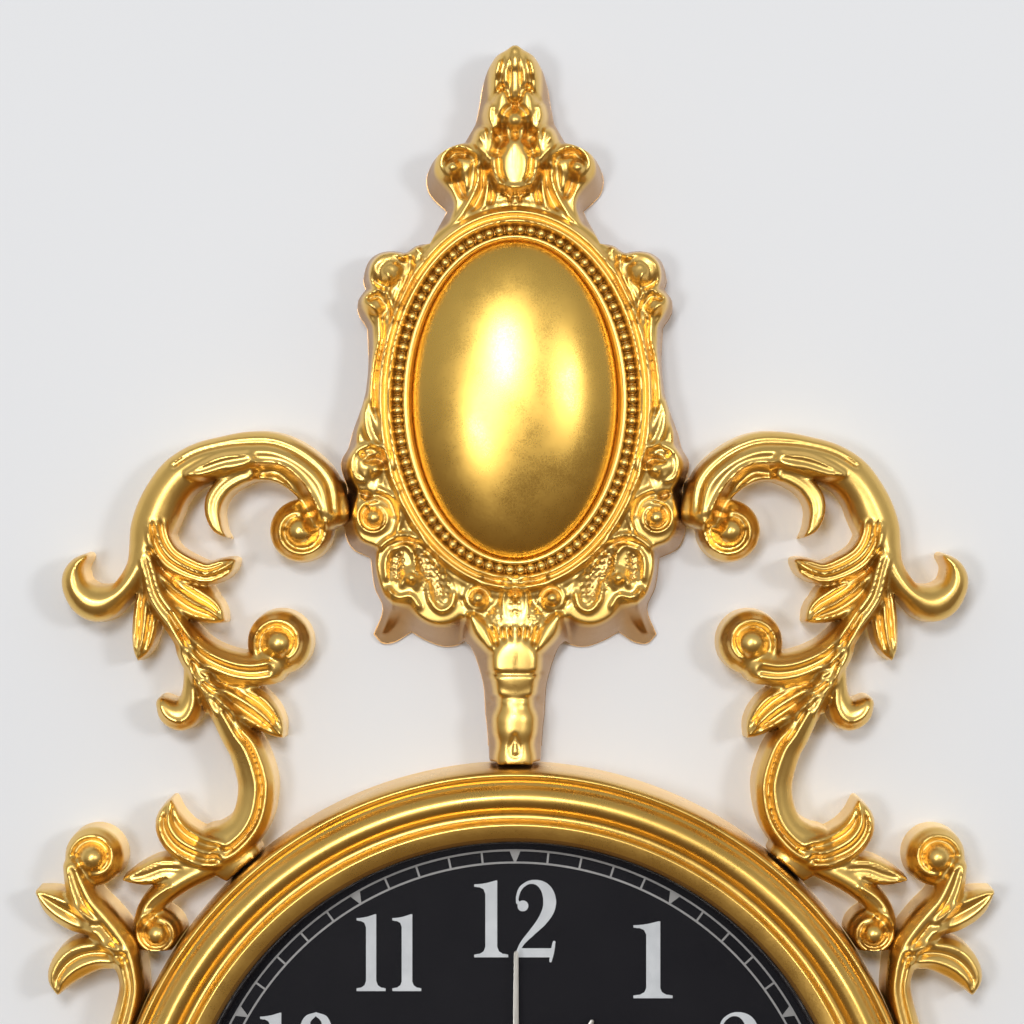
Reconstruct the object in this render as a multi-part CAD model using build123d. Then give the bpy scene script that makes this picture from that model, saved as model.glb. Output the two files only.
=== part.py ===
from build123d import *
import math
import os

# Ornate wall clock with a pendulum.  Millimetres, +Z up, front faces -Y.
# The origin is on the dial's axis, in the plane of the wall (y = 0).
# A "height" below is a distance out from the wall, so it is minus Y.

# ---- driving dimensions -------------------------------------------------
RING_R = 183.0            # outside of the moulded ring
RING_H = 48.0             # crown of the ring above the wall
LIP_R = 149.5             # edge of the opening
LIP_H = 46.0
BORE_R = 153.0            # bore that holds lens, surround and dial
LEDGE_H = 18.5            # rear ledge, level with the back of the dial
RECESS_R = 161.0          # rear recess of the ring
LENS_T = 2.0
LENS_H = 43.5             # front of the lens
GASKET_T = 0.8
DIAL_H = 20.0             # front of the dial
DIAL_R = 152.6
SURROUND_R = 147.0        # brown wall round the dial, where it meets the dial
SURROUND_LIP_R = 149.0

MINUTE_LENGTH = 99.6
HOUR_LENGTH = 76.8
MINUTE_ANGLE = 0.3        # clockwise from twelve, at rest
HOUR_ANGLE = 27.0
HAND_W = 3.1
HAND_TIP_W = 2.0
HAND_T = 0.5
HOUR_HAND_H = 25.5        # front of the hour hand
MINUTE_HAND_H = 28.0

CASE_W = 60.0             # quartz movement
CASE_TOP = 32.0
CASE_BOTTOM = -62.0
CASE_BACK_H = 0.0
CASE_SPLIT_H = 10.5
CASE_FRONT_H = 18.5
CASE_WALL = 1.5
BUSH_R = 4.0
BUSH_BORE = 2.75
PIPE_R = 2.65
PIPE_BORE = 1.75
ARBOR_R = 1.65
POST_R = 0.8

MODULE_1 = 0.4            # minute pinion, intermediate wheel, setting pinion
MODULE_2 = 0.32           # intermediate pinion, hour wheel
CENTRE_DISTANCE = 9.6
LEVEL_1_H = (10.9, 12.3)  # back and front of the first pair of gears
LEVEL_2_H = (13.0, 14.4)

PIVOT_Z = -30.0           # pendulum
ROD_H = 8.0
ROD_R = 1.6
BOB_Z = -290.0
BOB_R = 36.0
BOB_T = 9.0
SWING = 8.0               # degrees to each side
SLOT_HALF_W = 27.0
SLOT_H = 16.0

CREST_BOARD_T = 2.5
CREST_SPLIT_GAP = 0.3     # paint gap between neighbouring castings
ARM_H = 36.0
STRAP_T = 1.5
SCREW_R = 1.5
SCREW_HEAD_R = 3.0
SCREW_HEAD_T = 1.4

PARTS = {}


# ---- small helpers --------------------------------------------------------
def slab(sketch, back, front):
    """A flat shape, drawn in X and Z, from height back to height front."""
    return extrude(Plane.XZ.offset(back) * sketch, amount=front - back)


def turned(points):
    """A solid turned about the dial's axis from (radius, height) points."""
    outline = [(radius, -height) for radius, height in points]
    section = make_face(Polyline(*outline, close=True))
    return revolve(section, Axis.Y)


def disc(radius, back, front, x=0.0, z=0.0):
    return slab(Pos(x, z) * Circle(radius), back, front)


def block(width, length, back, front, x=0.0, z=0.0):
    return slab(Pos(x, z) * Rectangle(width, length), back, front)


def span(a, b):
    """The band that wraps two circles, each given as x, z and radius."""
    (xa, za, ra), (xb, zb, rb) = a, b
    run = math.hypot(xb - xa, zb - za)
    heading = math.atan2(zb - za, xb - xa)
    lean = math.acos((ra - rb) / run)
    corners = []
    for x, z, radius, side in ((xa, za, ra, 1), (xb, zb, rb, 1), (xb, zb, rb, -1), (xa, za, ra, -1)):
        angle = heading + side * lean
        corners.append((x + radius * math.cos(angle), z + radius * math.sin(angle)))
    return make_face(Polyline(*corners, close=True))


def stroke(points, height):
    """A raised stroke whose half-width changes along its centre line."""
    flat = [Pos(x, z) * Circle(radius) for x, z, radius in points]
    flat += [span(a, b) for a, b in zip(points, points[1:])]
    return slab(Sketch() + flat, 0, height)


def both_sides(name, solid):
    PARTS[name + "_left"] = mirror(solid, Plane.YZ)
    PARTS[name + "_right"] = solid


def gear(teeth, module, back, front, backlash=0.16):
    """A spur gear with straight-flanked teeth, thinned for easy running."""
    pitch_r = teeth * module / 2
    tip_r = pitch_r + 0.8 * module
    root_r = pitch_r - 1.15 * module
    pitch_angle = 2 * math.pi / teeth
    half = pitch_angle * (0.25 - backlash / 2)
    outline = []
    for tooth in range(teeth):
        middle = tooth * pitch_angle
        for radius, offset in ((root_r, -1.75 * half), (pitch_r, -half), (tip_r, -0.45 * half),
                               (tip_r, 0.45 * half), (pitch_r, half), (root_r, 1.75 * half)):
            angle = middle + offset
            outline.append((radius * math.cos(angle), radius * math.sin(angle)))
    return slab(make_face(Polyline(*outline, close=True)), back, front)


def placed(solid, x, z, turn=0.0):
    """Turns a solid about the dial's axis, then moves it across the wall."""
    return Pos(x, 0, z) * Rot(0, turn, 0) * solid


def pan_screw(x, z, seat):
    """A screw driven towards the front; its head sits behind height seat."""
    head = disc(SCREW_HEAD_R, seat - SCREW_HEAD_T, seat, x, z)
    return head + disc(SCREW_R, seat, seat + CLIP_SCREW_L, x, z)


# ---- straps that hold the castings together ---------------------------------------
STRAP_L = 24.0
STRAP_W = 9.0
STRAP_HOLE = 7.5          # screw holes, from the strap's middle
STRAP_SCREW_L = 8.0
# Each place is a centre x, a centre z and the angle of the strap's length from +X.
RING_STRAP = (125.4, 133.4, 46.8)
FLANK_STRAP = (182.0, 0.0, 0.0)
TOP_STRAP = (0.0, 184.0, 90.0)
CREST_STRAP = (79.0, 300.0, 0.0)
PENDANT_STRAP = (78.0, -311.0, -62.0)


def pair(place):
    x, z, angle = place
    return [(x, z, angle), (-x, z, -angle)]


def four(place):
    x, z, angle = place
    return pair(place) + pair((x, -z, -angle))


RING_PLACES = [TOP_STRAP, *pair(FLANK_STRAP), *four(RING_STRAP)]
CREST_PLACES = [TOP_STRAP, *pair(CREST_STRAP)]
STRAP_PLACES = [*RING_PLACES, *pair(CREST_STRAP), *pair(PENDANT_STRAP)]


def strap_frame(x, z, angle):
    return Pos(x, 0, z) * Rot(0, -angle, 0)


def cut_pockets(body, places):
    """Lets straps into the back of a casting, with a hole for each screw."""
    pocket = block(STRAP_L + 0.2, STRAP_W + 0.2, 0, STRAP_T)
    for offset in (-STRAP_HOLE, STRAP_HOLE):
        pocket += disc(SCREW_R, STRAP_T, STRAP_T + STRAP_SCREW_L, offset, 0)
    for place in places:
        body -= strap_frame(*place) * pocket
    return body


def make_straps():
    strap = block(STRAP_L, STRAP_W, 0, STRAP_T)
    screws = []
    for offset in (-STRAP_HOLE, STRAP_HOLE):
        strap -= disc(SCREW_R, 0, STRAP_T, offset, 0)
        screws.append(disc(SCREW_R, 0, STRAP_T + STRAP_SCREW_L, offset, 0))
    frames = [strap_frame(*place) for place in STRAP_PLACES]
    PARTS["joining_straps"] = Compound(children=[frame * strap for frame in frames])
    PARTS["strap_screws"] = Compound(children=[frame * screw for frame in frames for screw in screws])


# ---- ring, dial and lens ----------------------------------------------------
CLIP_SCREW_R = 157.0      # circle of the dial clips' screws
CLIP_SCREW_L = 7.0
CLIP_T = 1.2
CLIP_L = 15.0
CLIP_W = 9.0
CLIP_HOLE = 4.0           # hole, outwards from the clip's middle
CLIP_ANGLES = (30, 90, 150, 210, 330)
CLIP_PLACES = [
    (CLIP_SCREW_R * math.cos(math.radians(a)), CLIP_SCREW_R * math.sin(math.radians(a)))
    for a in CLIP_ANGLES
]


def make_ring():
    profile = [
        (LIP_R, LIP_H - 2.5), (LIP_R, LIP_H - 0.8), (LIP_R + 1, LIP_H), (158, LIP_H), (159.5, 43.5),
        (163, 43.2), (165.5, 46.2), (169, RING_H), (173, 46.6), (175.5, 42.5), (177, 41.5),
        (179.3, 42.6), (181, 40), (RING_R, 36), (RING_R, 0), (RECESS_R, 0), (RECESS_R, LEDGE_H),
        (BORE_R, LEDGE_H), (BORE_R, LIP_H - 2.5),
    ]
    ring = turned(profile)
    slot_z = -(RECESS_R + RING_R) / 2
    ring -= block(2 * SLOT_HALF_W, 40, -1, SLOT_H, z=slot_z)
    for x, z in CLIP_PLACES:
        ring -= disc(SCREW_R, LEDGE_H - 1, LEDGE_H + CLIP_SCREW_L, x, z)
    PARTS["bezel_ring"] = cut_pockets(ring, RING_PLACES)


def make_dial_stack():
    lens_back = LENS_H - LENS_T
    surround_front = lens_back - GASKET_T
    PARTS["lens"] = disc(DIAL_R, lens_back, LENS_H)
    PARTS["lens_gasket"] = turned([
        (SURROUND_LIP_R + 0.4, surround_front), (DIAL_R, surround_front), (DIAL_R, lens_back),
        (SURROUND_LIP_R + 0.4, lens_back)])
    PARTS["dial_surround"] = turned([
        (SURROUND_R, DIAL_H), (DIAL_R, DIAL_H), (DIAL_R, surround_front),
        (SURROUND_LIP_R, surround_front)])
    PARTS["dial_plate"] = disc(DIAL_R, LEDGE_H, DIAL_H) - disc(BUSH_R + 0.1, LEDGE_H, DIAL_H)


def make_dial_clips():
    back = LEDGE_H - CLIP_T
    plate = block(CLIP_L, CLIP_W, back, LEDGE_H) - disc(SCREW_R + 0.05, back, LEDGE_H, x=CLIP_HOLE)
    clips = [Rot(0, -angle, 0) * Pos(CLIP_SCREW_R - CLIP_HOLE, 0, 0) * plate for angle in CLIP_ANGLES]
    screws = [pan_screw(x, z, back) for x, z in CLIP_PLACES]
    PARTS["dial_clips"] = Compound(children=clips)
    PARTS["dial_clip_screws"] = Compound(children=screws)


# ---- crest -----------------------------------------------------------------
# Right half of the crest's outline, from the finial's tip down to the ring, as
# smooth runs of (x, z) that meet at corners.
CREST_EDGE = [
    [(0, 504.8), (4.5, 503), (9, 500), (13, 493.5), (15, 487), (16.5, 478), (18.5, 470), (23.5, 461.5)],
    [(23.5, 461.5), (30, 459), (36.5, 454.5), (40, 448), (39.5, 441.5), (36.5, 437), (31, 432)],
    [(31, 432), (38.5, 416.5)],
    [(38.5, 416.5), (44, 416.3), (49.5, 413)],
    [(49.5, 413), (55, 413.5), (61.5, 412.5), (66.5, 408.5), (68.8, 401), (67.5, 396)],
    [(67.5, 396), (71, 391), (71, 385.5), (67, 379)],
    [(67, 379), (66.5, 362), (68.5, 346), (73.5, 332.5), (75.5, 325), (79, 317.5), (75.8, 306)],
    [(75.8, 306), (78, 292), (74.5, 280), (65.5, 275)],
    [(65.5, 275), (63.8, 262), (60, 252), (64.2, 240.5)],
    [(64.2, 240.5), (60, 236.3), (54, 237), (47, 241.5)],
    [(47, 241.5), (41, 238), (33, 235), (26.5, 235.3), (22.5, 237.3)],
    [(22.5, 237.3), (19, 233), (14.5, 218.5), (13.5, 205), (12.5, 196), (12, 183.4)],
]
DOME_Z = 346.0
DOME_HALF_W = 45.9
DOME_HALF_H = 71.0
DOME_DEPTH = 17.0         # how far the dome stands above its seat
DOME_SEAT_H = 30.0
DOME_FOOT = 4.0           # depth of the dome's foot below the seat
DOME_GAP = 0.1
RIDGE_HALF_W = 56.0
RIDGE_HALF_H = 81.0
HANGER_Z = 392.0
HANGER_R = 4.0
HANGER_W = 44.0
HANGER_L = 24.0
HANGER_SCREW_X = 16.0
HANGER_SCREW_L = 8.0
HANGER_POCKET = 14.0      # clear space behind the hanging hole
HANGER_POCKET_H = 12.0
CREST_FACE_H = 24.0       # flat ground of the crest
CREST_RIDGE_H = 36.0
BOARD_BOTTOM_Z = 187.5    # the backboard stops just above the ring
FINIAL = (40, [(0, 500, 3), (0, 470, 12), (0, 438, 24)])
# Raised scrolls on the crest: x, z, radius, back and front; those with x > 0 are paired.
CREST_BOSSES = [
    (0, 258, 13, 24, 40), (0, 198, 12, 20, 34), (63, 293, 13, 24, 40), (63, 318, 11, 24, 38),
    (54, 402, 12, 24, 36), (50, 250, 11, 22, 34),
]


def crest_outline(inset=0.0):
    edges = []
    for side in (1, -1):
        for run in CREST_EDGE:
            points = [(side * (x - inset) if x else 0, z) for x, z in run]
            edges.append(Spline(*points) if len(points) > 2 else Line(*points))
    foot_x, foot_z = CREST_EDGE[-1][-1]
    edges.append(Line((inset - foot_x, foot_z), (foot_x - inset, foot_z)))
    return make_face(edges)


def dome_solid():
    """A low cushion: an ellipsoid sunk so that only its cap stands proud."""
    cap = scale(Sphere(1.0), by=(DOME_HALF_W, DOME_DEPTH, DOME_HALF_H))
    cap = Pos(0, -DOME_SEAT_H, DOME_Z) * cap
    front_half = block(3 * DOME_HALF_W, 3 * DOME_HALF_H, DOME_SEAT_H, RING_H, z=DOME_Z)
    outline = Pos(0, DOME_Z) * Ellipse(DOME_HALF_W, DOME_HALF_H)
    return (cap & front_half) + slab(outline, DOME_SEAT_H - DOME_FOOT, DOME_SEAT_H)


def make_crest():
    board_sheet = Pos(0, BOARD_BOTTOM_Z) * Rectangle(400, 400, align=(Align.CENTER, Align.MIN))
    board = slab(crest_outline() & board_sheet, 0, CREST_BOARD_T)
    body = slab(crest_outline(1.2), CREST_BOARD_T, CREST_FACE_H)
    ridge = Pos(0, DOME_Z) * Ellipse(RIDGE_HALF_W, RIDGE_HALF_H)
    body += slab(ridge, CREST_FACE_H, CREST_RIDGE_H)
    finial_h, finial_line = FINIAL
    body += stroke(finial_line, finial_h) - block(300, 400, 0, CREST_BOARD_T, z=400)
    body += block(20, 30, CREST_FACE_H, CREST_RIDGE_H, z=228)
    for x, z, radius, back, front in CREST_BOSSES:
        for side in (-1, 1) if x else (1,):
            body += disc(radius, back, front, side * x, z)
    seat = Pos(0, DOME_Z) * Ellipse(DOME_HALF_W + DOME_GAP, DOME_HALF_H + DOME_GAP)
    body -= slab(seat, DOME_SEAT_H - DOME_FOOT, RING_H)
    pocket = block(HANGER_POCKET, HANGER_POCKET, 0, HANGER_POCKET_H, z=HANGER_Z)
    board -= block(HANGER_W, HANGER_L, 0, STRAP_T, z=HANGER_Z) + pocket
    body -= pocket
    for x in (-HANGER_SCREW_X, HANGER_SCREW_X):
        hole = disc(SCREW_R, 0, STRAP_T + HANGER_SCREW_L + 1, x, HANGER_Z)
        board -= hole
        body -= hole
    PARTS["crest_backboard"] = cut_pockets(board, CREST_PLACES)
    PARTS["crest_casting"] = cut_pockets(body, CREST_PLACES)
    PARTS["crest_dome"] = dome_solid()


def make_hanger():
    plate = block(HANGER_W, HANGER_L, 0, STRAP_T, z=HANGER_Z)
    plate -= disc(HANGER_R, 0, STRAP_T, 0, HANGER_Z)
    screws = []
    for x in (-HANGER_SCREW_X, HANGER_SCREW_X):
        plate -= disc(SCREW_R, 0, STRAP_T, x, HANGER_Z)
        screws.append(disc(SCREW_R, 0, STRAP_T + HANGER_SCREW_L, x, HANGER_Z))
    PARTS["hanger_plate"] = plate
    PARTS["hanger_screws"] = Compound(children=screws)


# ---- scrolled arms -----------------------------------------------------------
# Strokes of the upper right arm: x, z and half-width along each centre line.
ARM_STROKES = [
    # the high arch, its turn and the drop to the small return hook
    (38, [(85, 295, 8), (88.5, 307, 10.5), (97, 315.5, 11), (113, 320.5, 11.5), (130, 320.5, 10),
          (150, 312, 10), (160, 296, 10.5), (165, 280, 9.5), (171.5, 265, 6.5), (177.5, 259, 6.5),
          (185, 255, 8.5), (191, 256, 8.5), (196.5, 262.5, 6.5), (196, 272, 4), (192, 276, 2)]),
    (34, [(95.5, 287, 14.5)]),
    # leaf that curls back inside the arch, and the cluster below it
    (34, [(119, 313.5, 4.5), (130, 308, 5), (135, 296, 4.5), (131, 286.5, 2)]),
    (28, [(160, 289, 6), (152.5, 275, 6), (138, 268, 5.5), (126, 273.5, 1)]),
    (27, [(156, 276, 4), (148, 267, 5), (140, 261, 4), (134.5, 259, 1)]),
    (26, [(162.5, 275, 3.5), (151.5, 261, 8), (143.5, 255.5, 8.5), (130, 247, 1)]),
    (24, [(163, 268, 3), (165.5, 248, 6.5), (166.5, 234.5, 4.5), (169, 229, 0.5)]),
    # long stem down to the ring, and its root on the ring
    (ARM_H, [(165, 276, 5), (160, 258, 5.5), (147.5, 239, 6), (139, 221, 6), (125, 196.5, 7.5),
             (119, 187, 8.5), (116, 171, 9), (118, 159.5, 9), (128.5, 147.5, 10), (135.5, 144.5, 10.5)]),
    (30, [(134, 146, 10), (125, 143.5, 10.5), (118, 137, 8.5)]),
    # branch to the lower volute
    (32, [(152, 248, 4.5), (145.5, 239, 6), (132, 229, 7), (118.5, 225, 7.5), (109, 225, 8)]),
    (34, [(105, 237.5, 15)]),
    (26, [(139, 221, 4), (127.5, 215, 8), (117, 208.5, 9), (109.5, 202, 6.5), (104, 195, 1)]),
    (28, [(146.5, 226.5, 3.5), (145.5, 212, 6), (149, 205, 7.5), (154.5, 206.5, 6), (157.5, 210.5, 4)]),
    # leaves and small scroll where the arm lies against the ring
    (30, [(134.5, 144.5, 8), (143.5, 145.5, 9), (151, 150.5, 9), (154.5, 158, 7), (153.5, 167.5, 1)]),
    (26, [(145.5, 135.5, 4.5), (156.5, 136.5, 6), (165.5, 133.5, 6), (175.5, 131.5, 1)]),
    (30, [(139, 137.5, 6), (156.5, 126, 6), (165, 118, 5), (163, 112, 6)]),
    (32, [(160, 107.5, 12)]),
]
# Upper half of the scroll on the ring's flank; the lower half mirrors it.
SIDE_STROKES = [
    (32, [(188.5, 142.5, 14)]),
    (34, [(199, 136.5, 4.5), (193, 121, 8), (180, 107.5, 9), (174, 97, 8), (174, 78, 12),
          (180, 52, 8.5), (185, 26, 7.5), (187, 0, 7)]),
    (24, [(187, 111, 5.5), (197, 116, 8), (206, 120.5, 7), (213.5, 126, 2)]),
    (26, [(176, 96.5, 6), (187.5, 98.5, 8), (198, 95.5, 9), (204, 89, 6.5), (204.5, 81, 1)]),
]
PENDANT_STROKES = [
    (30, [(80, -316, 5), (66, -326, 8), (44, -345, 9), (20, -356, 11), (0, -360, 14)]),
    (34, [(58, -343, 11)]),
    (26, [(40, -352, 8), (34, -372, 9), (18, -388, 7), (0, -396, 8)]),
    (36, [(0, -362, 16), (0, -384, 10), (0, -402, 4)]),
]


def fused(strokes):
    body = Part()
    for height, points in strokes:
        body += stroke(points, height)
    return body


def clear_of_ring(body):
    return body - disc(RING_R + CREST_SPLIT_GAP, -1, 60)


def make_arms():
    arm = clear_of_ring(fused(ARM_STROKES)) - slab(crest_outline(-CREST_SPLIT_GAP), -1, 60)
    arm = cut_pockets(arm, [RING_STRAP])
    lower = mirror(arm, Plane.XY)
    both_sides("upper_arm", cut_pockets(arm, [CREST_STRAP]))

    half = clear_of_ring(fused(SIDE_STROKES))
    scroll = half + mirror(half, Plane.XY) - arm - lower
    both_sides("side_scroll", cut_pockets(scroll, [FLANK_STRAP]))

    half = fused(PENDANT_STROKES)
    pendant = half + mirror(half, Plane.YZ)
    both_sides("lower_arm", cut_pockets(lower - pendant, [PENDANT_STRAP]))
    PARTS["bottom_pendant"] = cut_pockets(pendant, pair(PENDANT_STRAP))


# ---- movement ------------------------------------------------------------------
INTERMEDIATE_X = -CENTRE_DISTANCE
SETTING_Z = -CENTRE_DISTANCE
BATTERY_X = 19.5
BATTERY_R = 7.1
BATTERY_L = 50.0
BATTERY_Z = 2.0
BATTERY_H = 9.8
CASE_SCREWS = [(-26, 28), (26, -58), (-26, -58)]


def make_case():
    z_mid = (CASE_TOP + CASE_BOTTOM) / 2
    height = CASE_TOP - CASE_BOTTOM
    wall = 2 * CASE_WALL
    front = block(CASE_W, height, CASE_SPLIT_H, CASE_FRONT_H, z=z_mid)
    front -= block(CASE_W - wall, height - wall, CASE_SPLIT_H, CASE_FRONT_H - CASE_WALL, z=z_mid)
    front += disc(BUSH_R, CASE_FRONT_H - CASE_WALL, 24.0)
    front -= disc(BUSH_BORE, 0, 30)
    front += disc(POST_R, 10.0, CASE_FRONT_H - CASE_WALL, INTERMEDIATE_X, 0)
    rear = block(CASE_W, height, CASE_BACK_H, CASE_SPLIT_H, z=z_mid)
    rear -= block(CASE_W - wall, height - wall, CASE_BACK_H + CASE_WALL, CASE_SPLIT_H, z=z_mid)
    bay = block(2 * BATTERY_R + 1.4, BATTERY_L + 4, CASE_BACK_H - 1, CASE_BACK_H + 3, BATTERY_X, BATTERY_Z)
    rear -= bay
    rear += disc(4.5, CASE_BACK_H + CASE_WALL, 8.0) - disc(1.25, 5.0, 8.0)
    rear += disc(7.5, 0, 3.4, INTERMEDIATE_X, SETTING_Z) + disc(3.2, 3.4, 7, INTERMEDIATE_X, SETTING_Z)
    rear -= disc(6.2, 0, 2.3, INTERMEDIATE_X, SETTING_Z) + disc(1.75, 0, 8, INTERMEDIATE_X, SETTING_Z)
    mouth = block(26, 10, 4.2, 15.5, z=CASE_BOTTOM)
    front -= mouth
    rear -= mouth
    for x, z in CASE_SCREWS:
        front += disc(3, CASE_SPLIT_H, CASE_FRONT_H - CASE_WALL, x, z) - disc(1.0, 8, 16, x, z)
        front -= disc(1.0, 8, 16, x, z)
        rear += disc(3, CASE_BACK_H, CASE_SPLIT_H, x, z)
        rear -= disc(1.1, 0, 12, x, z) + disc(2.2, 0, CASE_BACK_H + 1.2, x, z)
    PARTS["movement_case"] = front
    PARTS["movement_cover"] = rear
    screws = [disc(2.1, 0.1, CASE_BACK_H + 1.2, x, z) + disc(0.98, CASE_BACK_H + 1.2, 15, x, z)
              for x, z in CASE_SCREWS]
    PARTS["movement_screws"] = Compound(children=screws)


def make_movement_fixed():
    nut = slab(RegularPolygon(7, 6), DIAL_H + 0.5, DIAL_H + 2.9) - disc(BUSH_R, DIAL_H, 24)
    PARTS["dial_washer"] = disc(7.5, DIAL_H, DIAL_H + 0.5) - disc(BUSH_R + 0.05, DIAL_H, DIAL_H + 1)
    PARTS["dial_nut"] = nut
    cell = Pos(BATTERY_X, -BATTERY_H, BATTERY_Z) * Cylinder(BATTERY_R, BATTERY_L - 1.4)
    cell += Pos(BATTERY_X, -BATTERY_H, BATTERY_Z + BATTERY_L / 2) * Cylinder(2.6, 1.6)
    PARTS["battery"] = cell
    contacts = []
    for end in (-1, 1):
        z = BATTERY_Z + end * (BATTERY_L / 2 + 1.4)
        contacts.append(block(9, 0.5, 6.5, 14.5, BATTERY_X, z))
    PARTS["battery_contacts"] = Compound(children=contacts)
    PARTS["circuit_board"] = block(24, 11, 14.8, 15.8, -8, 22.5)
    coil = Pos(-8, -12.2, 23) * Rot(0, 90, 0) * Cylinder(2.2, 15)
    stator = block(22, 3, 14.4, 14.8, -8, 23)
    PARTS["motor_coil"] = coil
    PARTS["motor_stator"] = stator
    PARTS["pendulum_coil"] = disc(6.5, 12.2, 17.0, 0, -50) - disc(2, 12, 17.0, 0, -50)


def make_going_parts():
    # minute arbor: rear pivot, pinion, long arbor and a flat for the hand
    pinion = gear(12, MODULE_1, *LEVEL_1_H)
    arbor = disc(1.2, 5.4, LEVEL_1_H[0]) + disc(ARBOR_R, LEVEL_1_H[0], 30.5)
    mesh_turn = 360.0 / 12 / 2
    PARTS["minute_arbor"] = placed(pinion, 0, 0, mesh_turn) + arbor

    hour = gear(48, MODULE_2, *LEVEL_2_H) + disc(PIPE_R, *LEVEL_2_H)
    hour = placed(hour, 0, 0, 360.0 / 48 / 2) + disc(PIPE_R, LEVEL_2_H[0], 26.0)
    PARTS["hour_wheel"] = hour - disc(PIPE_BORE, 10, 40)

    wheel = gear(36, MODULE_1, *LEVEL_1_H) + disc(1.7, LEVEL_1_H[0], LEVEL_2_H[1])
    wheel += gear(12, MODULE_2, *LEVEL_2_H)
    wheel -= disc(POST_R + 0.06, 0, 20)
    PARTS["intermediate_wheel"] = Pos(INTERMEDIATE_X, 0, 0) * wheel

    knob = placed(gear(12, MODULE_1, *LEVEL_1_H), 0, 0, mesh_turn)
    knob += disc(1.65, 1.9, LEVEL_1_H[0])
    knob += slab(RegularPolygon(5, 12), 0.4, 1.9)
    PARTS["setting_knob"] = Pos(INTERMEDIATE_X, 0, SETTING_Z) * knob


def baton(length, tail, front, bore, hub_r):
    half, tip = HAND_W / 2, HAND_TIP_W / 2
    outline = Polyline((-half, -tail), (half, -tail), (half, length * 0.25), (tip, length),
                       (-tip, length), (-half, length * 0.25), close=True)
    back = front - HAND_T
    hand = slab(make_face(outline), back, front) + disc(hub_r, back, front)
    return hand - disc(bore, back - 1, front + 1)


def make_hands():
    hour = baton(HOUR_LENGTH, 14, HOUR_HAND_H, PIPE_R, 7)
    PARTS["hour_hand"] = Rot(0, HOUR_ANGLE, 0) * hour
    minute = baton(MINUTE_LENGTH, 20, MINUTE_HAND_H, ARBOR_R, 6)
    PARTS["minute_hand"] = Rot(0, MINUTE_ANGLE, 0) * minute
    cap = disc(3.2, MINUTE_HAND_H, MINUTE_HAND_H + 3.4) - disc(ARBOR_R, MINUTE_HAND_H, 30.5)
    PARTS["hand_nut"] = cap


# ---- pendulum ----------------------------------------------------------------------
HOOK_Z = -70.0
MAGNET_Z = -50.0


def make_pendulum():
    pin = disc(1.2, CASE_BACK_H + CASE_WALL, CASE_FRONT_H - CASE_WALL, 0, PIVOT_Z)
    PARTS["pendulum_pin"] = pin
    rocker = disc(4, 5.0, 11.0, 0, PIVOT_Z) + block(7, 40, 6.5, 9.5, z=PIVOT_Z - 20)
    rocker += disc(6, 6.0, 9.5, 0, MAGNET_Z) + block(9, 12, 5.2, 10.8, z=HOOK_Z + 3)
    rocker -= disc(3.5, 9.0, 11, 0, MAGNET_Z) + disc(1.25, 0, 20, 0, PIVOT_Z)
    hook_hole = Pos(0, -ROD_H, HOOK_Z + 3) * Cylinder(ROD_R, 12)
    rocker -= hook_hole
    PARTS["pendulum_rocker"] = rocker
    PARTS["rocker_magnet"] = disc(3.5, 9.0, 11.0, 0, MAGNET_Z)
    rod_top = HOOK_Z + 9
    rod_end = BOB_Z - BOB_R - 10
    rod = Pos(0, -ROD_H, (rod_top + rod_end) / 2) * Cylinder(ROD_R, rod_top - rod_end)
    PARTS["pendulum_rod"] = rod
    bore = Pos(0, -ROD_H, BOB_Z) * Cylinder(ROD_R, 2 * BOB_R + 10)
    bob_back = ROD_H - BOB_T / 2
    bob = disc(BOB_R, bob_back, bob_back + 3, 0, BOB_Z) + disc(BOB_R - 5, bob_back, bob_back + 7, 0, BOB_Z)
    bob += disc(BOB_R - 12, bob_back, bob_back + BOB_T, 0, BOB_Z)
    PARTS["pendulum_bob"] = bob - bore
    nut = Pos(0, -ROD_H, BOB_Z - BOB_R - 4) * Cylinder(4.5, 3.5)
    PARTS["rating_nut"] = nut - Pos(0, -ROD_H, BOB_Z - BOB_R - 4) * Cylinder(ROD_R, 10)


# ---- build and write -------------------------------------------------------------------
def build():
    make_ring()
    make_dial_stack()
    make_dial_clips()
    make_crest()
    make_hanger()
    make_arms()
    make_straps()
    make_case()
    make_movement_fixed()
    make_going_parts()
    make_hands()
    make_pendulum()


build()
os.makedirs("parts", exist_ok=True)
for name, solid in PARTS.items():
    export_step(solid, f"parts/{name}.step")
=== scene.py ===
"""Looks of a gold baroque pendulum wall clock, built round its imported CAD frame."""
import math

import bmesh
import bpy
import numpy as np
from mathutils import Matrix, Vector


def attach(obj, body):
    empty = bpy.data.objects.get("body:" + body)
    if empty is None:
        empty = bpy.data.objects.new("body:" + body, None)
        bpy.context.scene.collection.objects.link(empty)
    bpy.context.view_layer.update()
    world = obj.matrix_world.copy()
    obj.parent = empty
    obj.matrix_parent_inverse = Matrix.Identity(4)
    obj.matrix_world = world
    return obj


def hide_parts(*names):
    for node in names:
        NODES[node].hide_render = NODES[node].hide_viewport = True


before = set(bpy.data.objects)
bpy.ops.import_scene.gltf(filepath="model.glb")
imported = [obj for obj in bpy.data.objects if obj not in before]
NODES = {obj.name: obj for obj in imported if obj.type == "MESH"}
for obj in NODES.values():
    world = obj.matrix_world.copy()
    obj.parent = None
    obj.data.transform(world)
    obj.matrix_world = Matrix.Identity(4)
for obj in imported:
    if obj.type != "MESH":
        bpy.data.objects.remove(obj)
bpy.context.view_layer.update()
MM = 0.001


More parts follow.
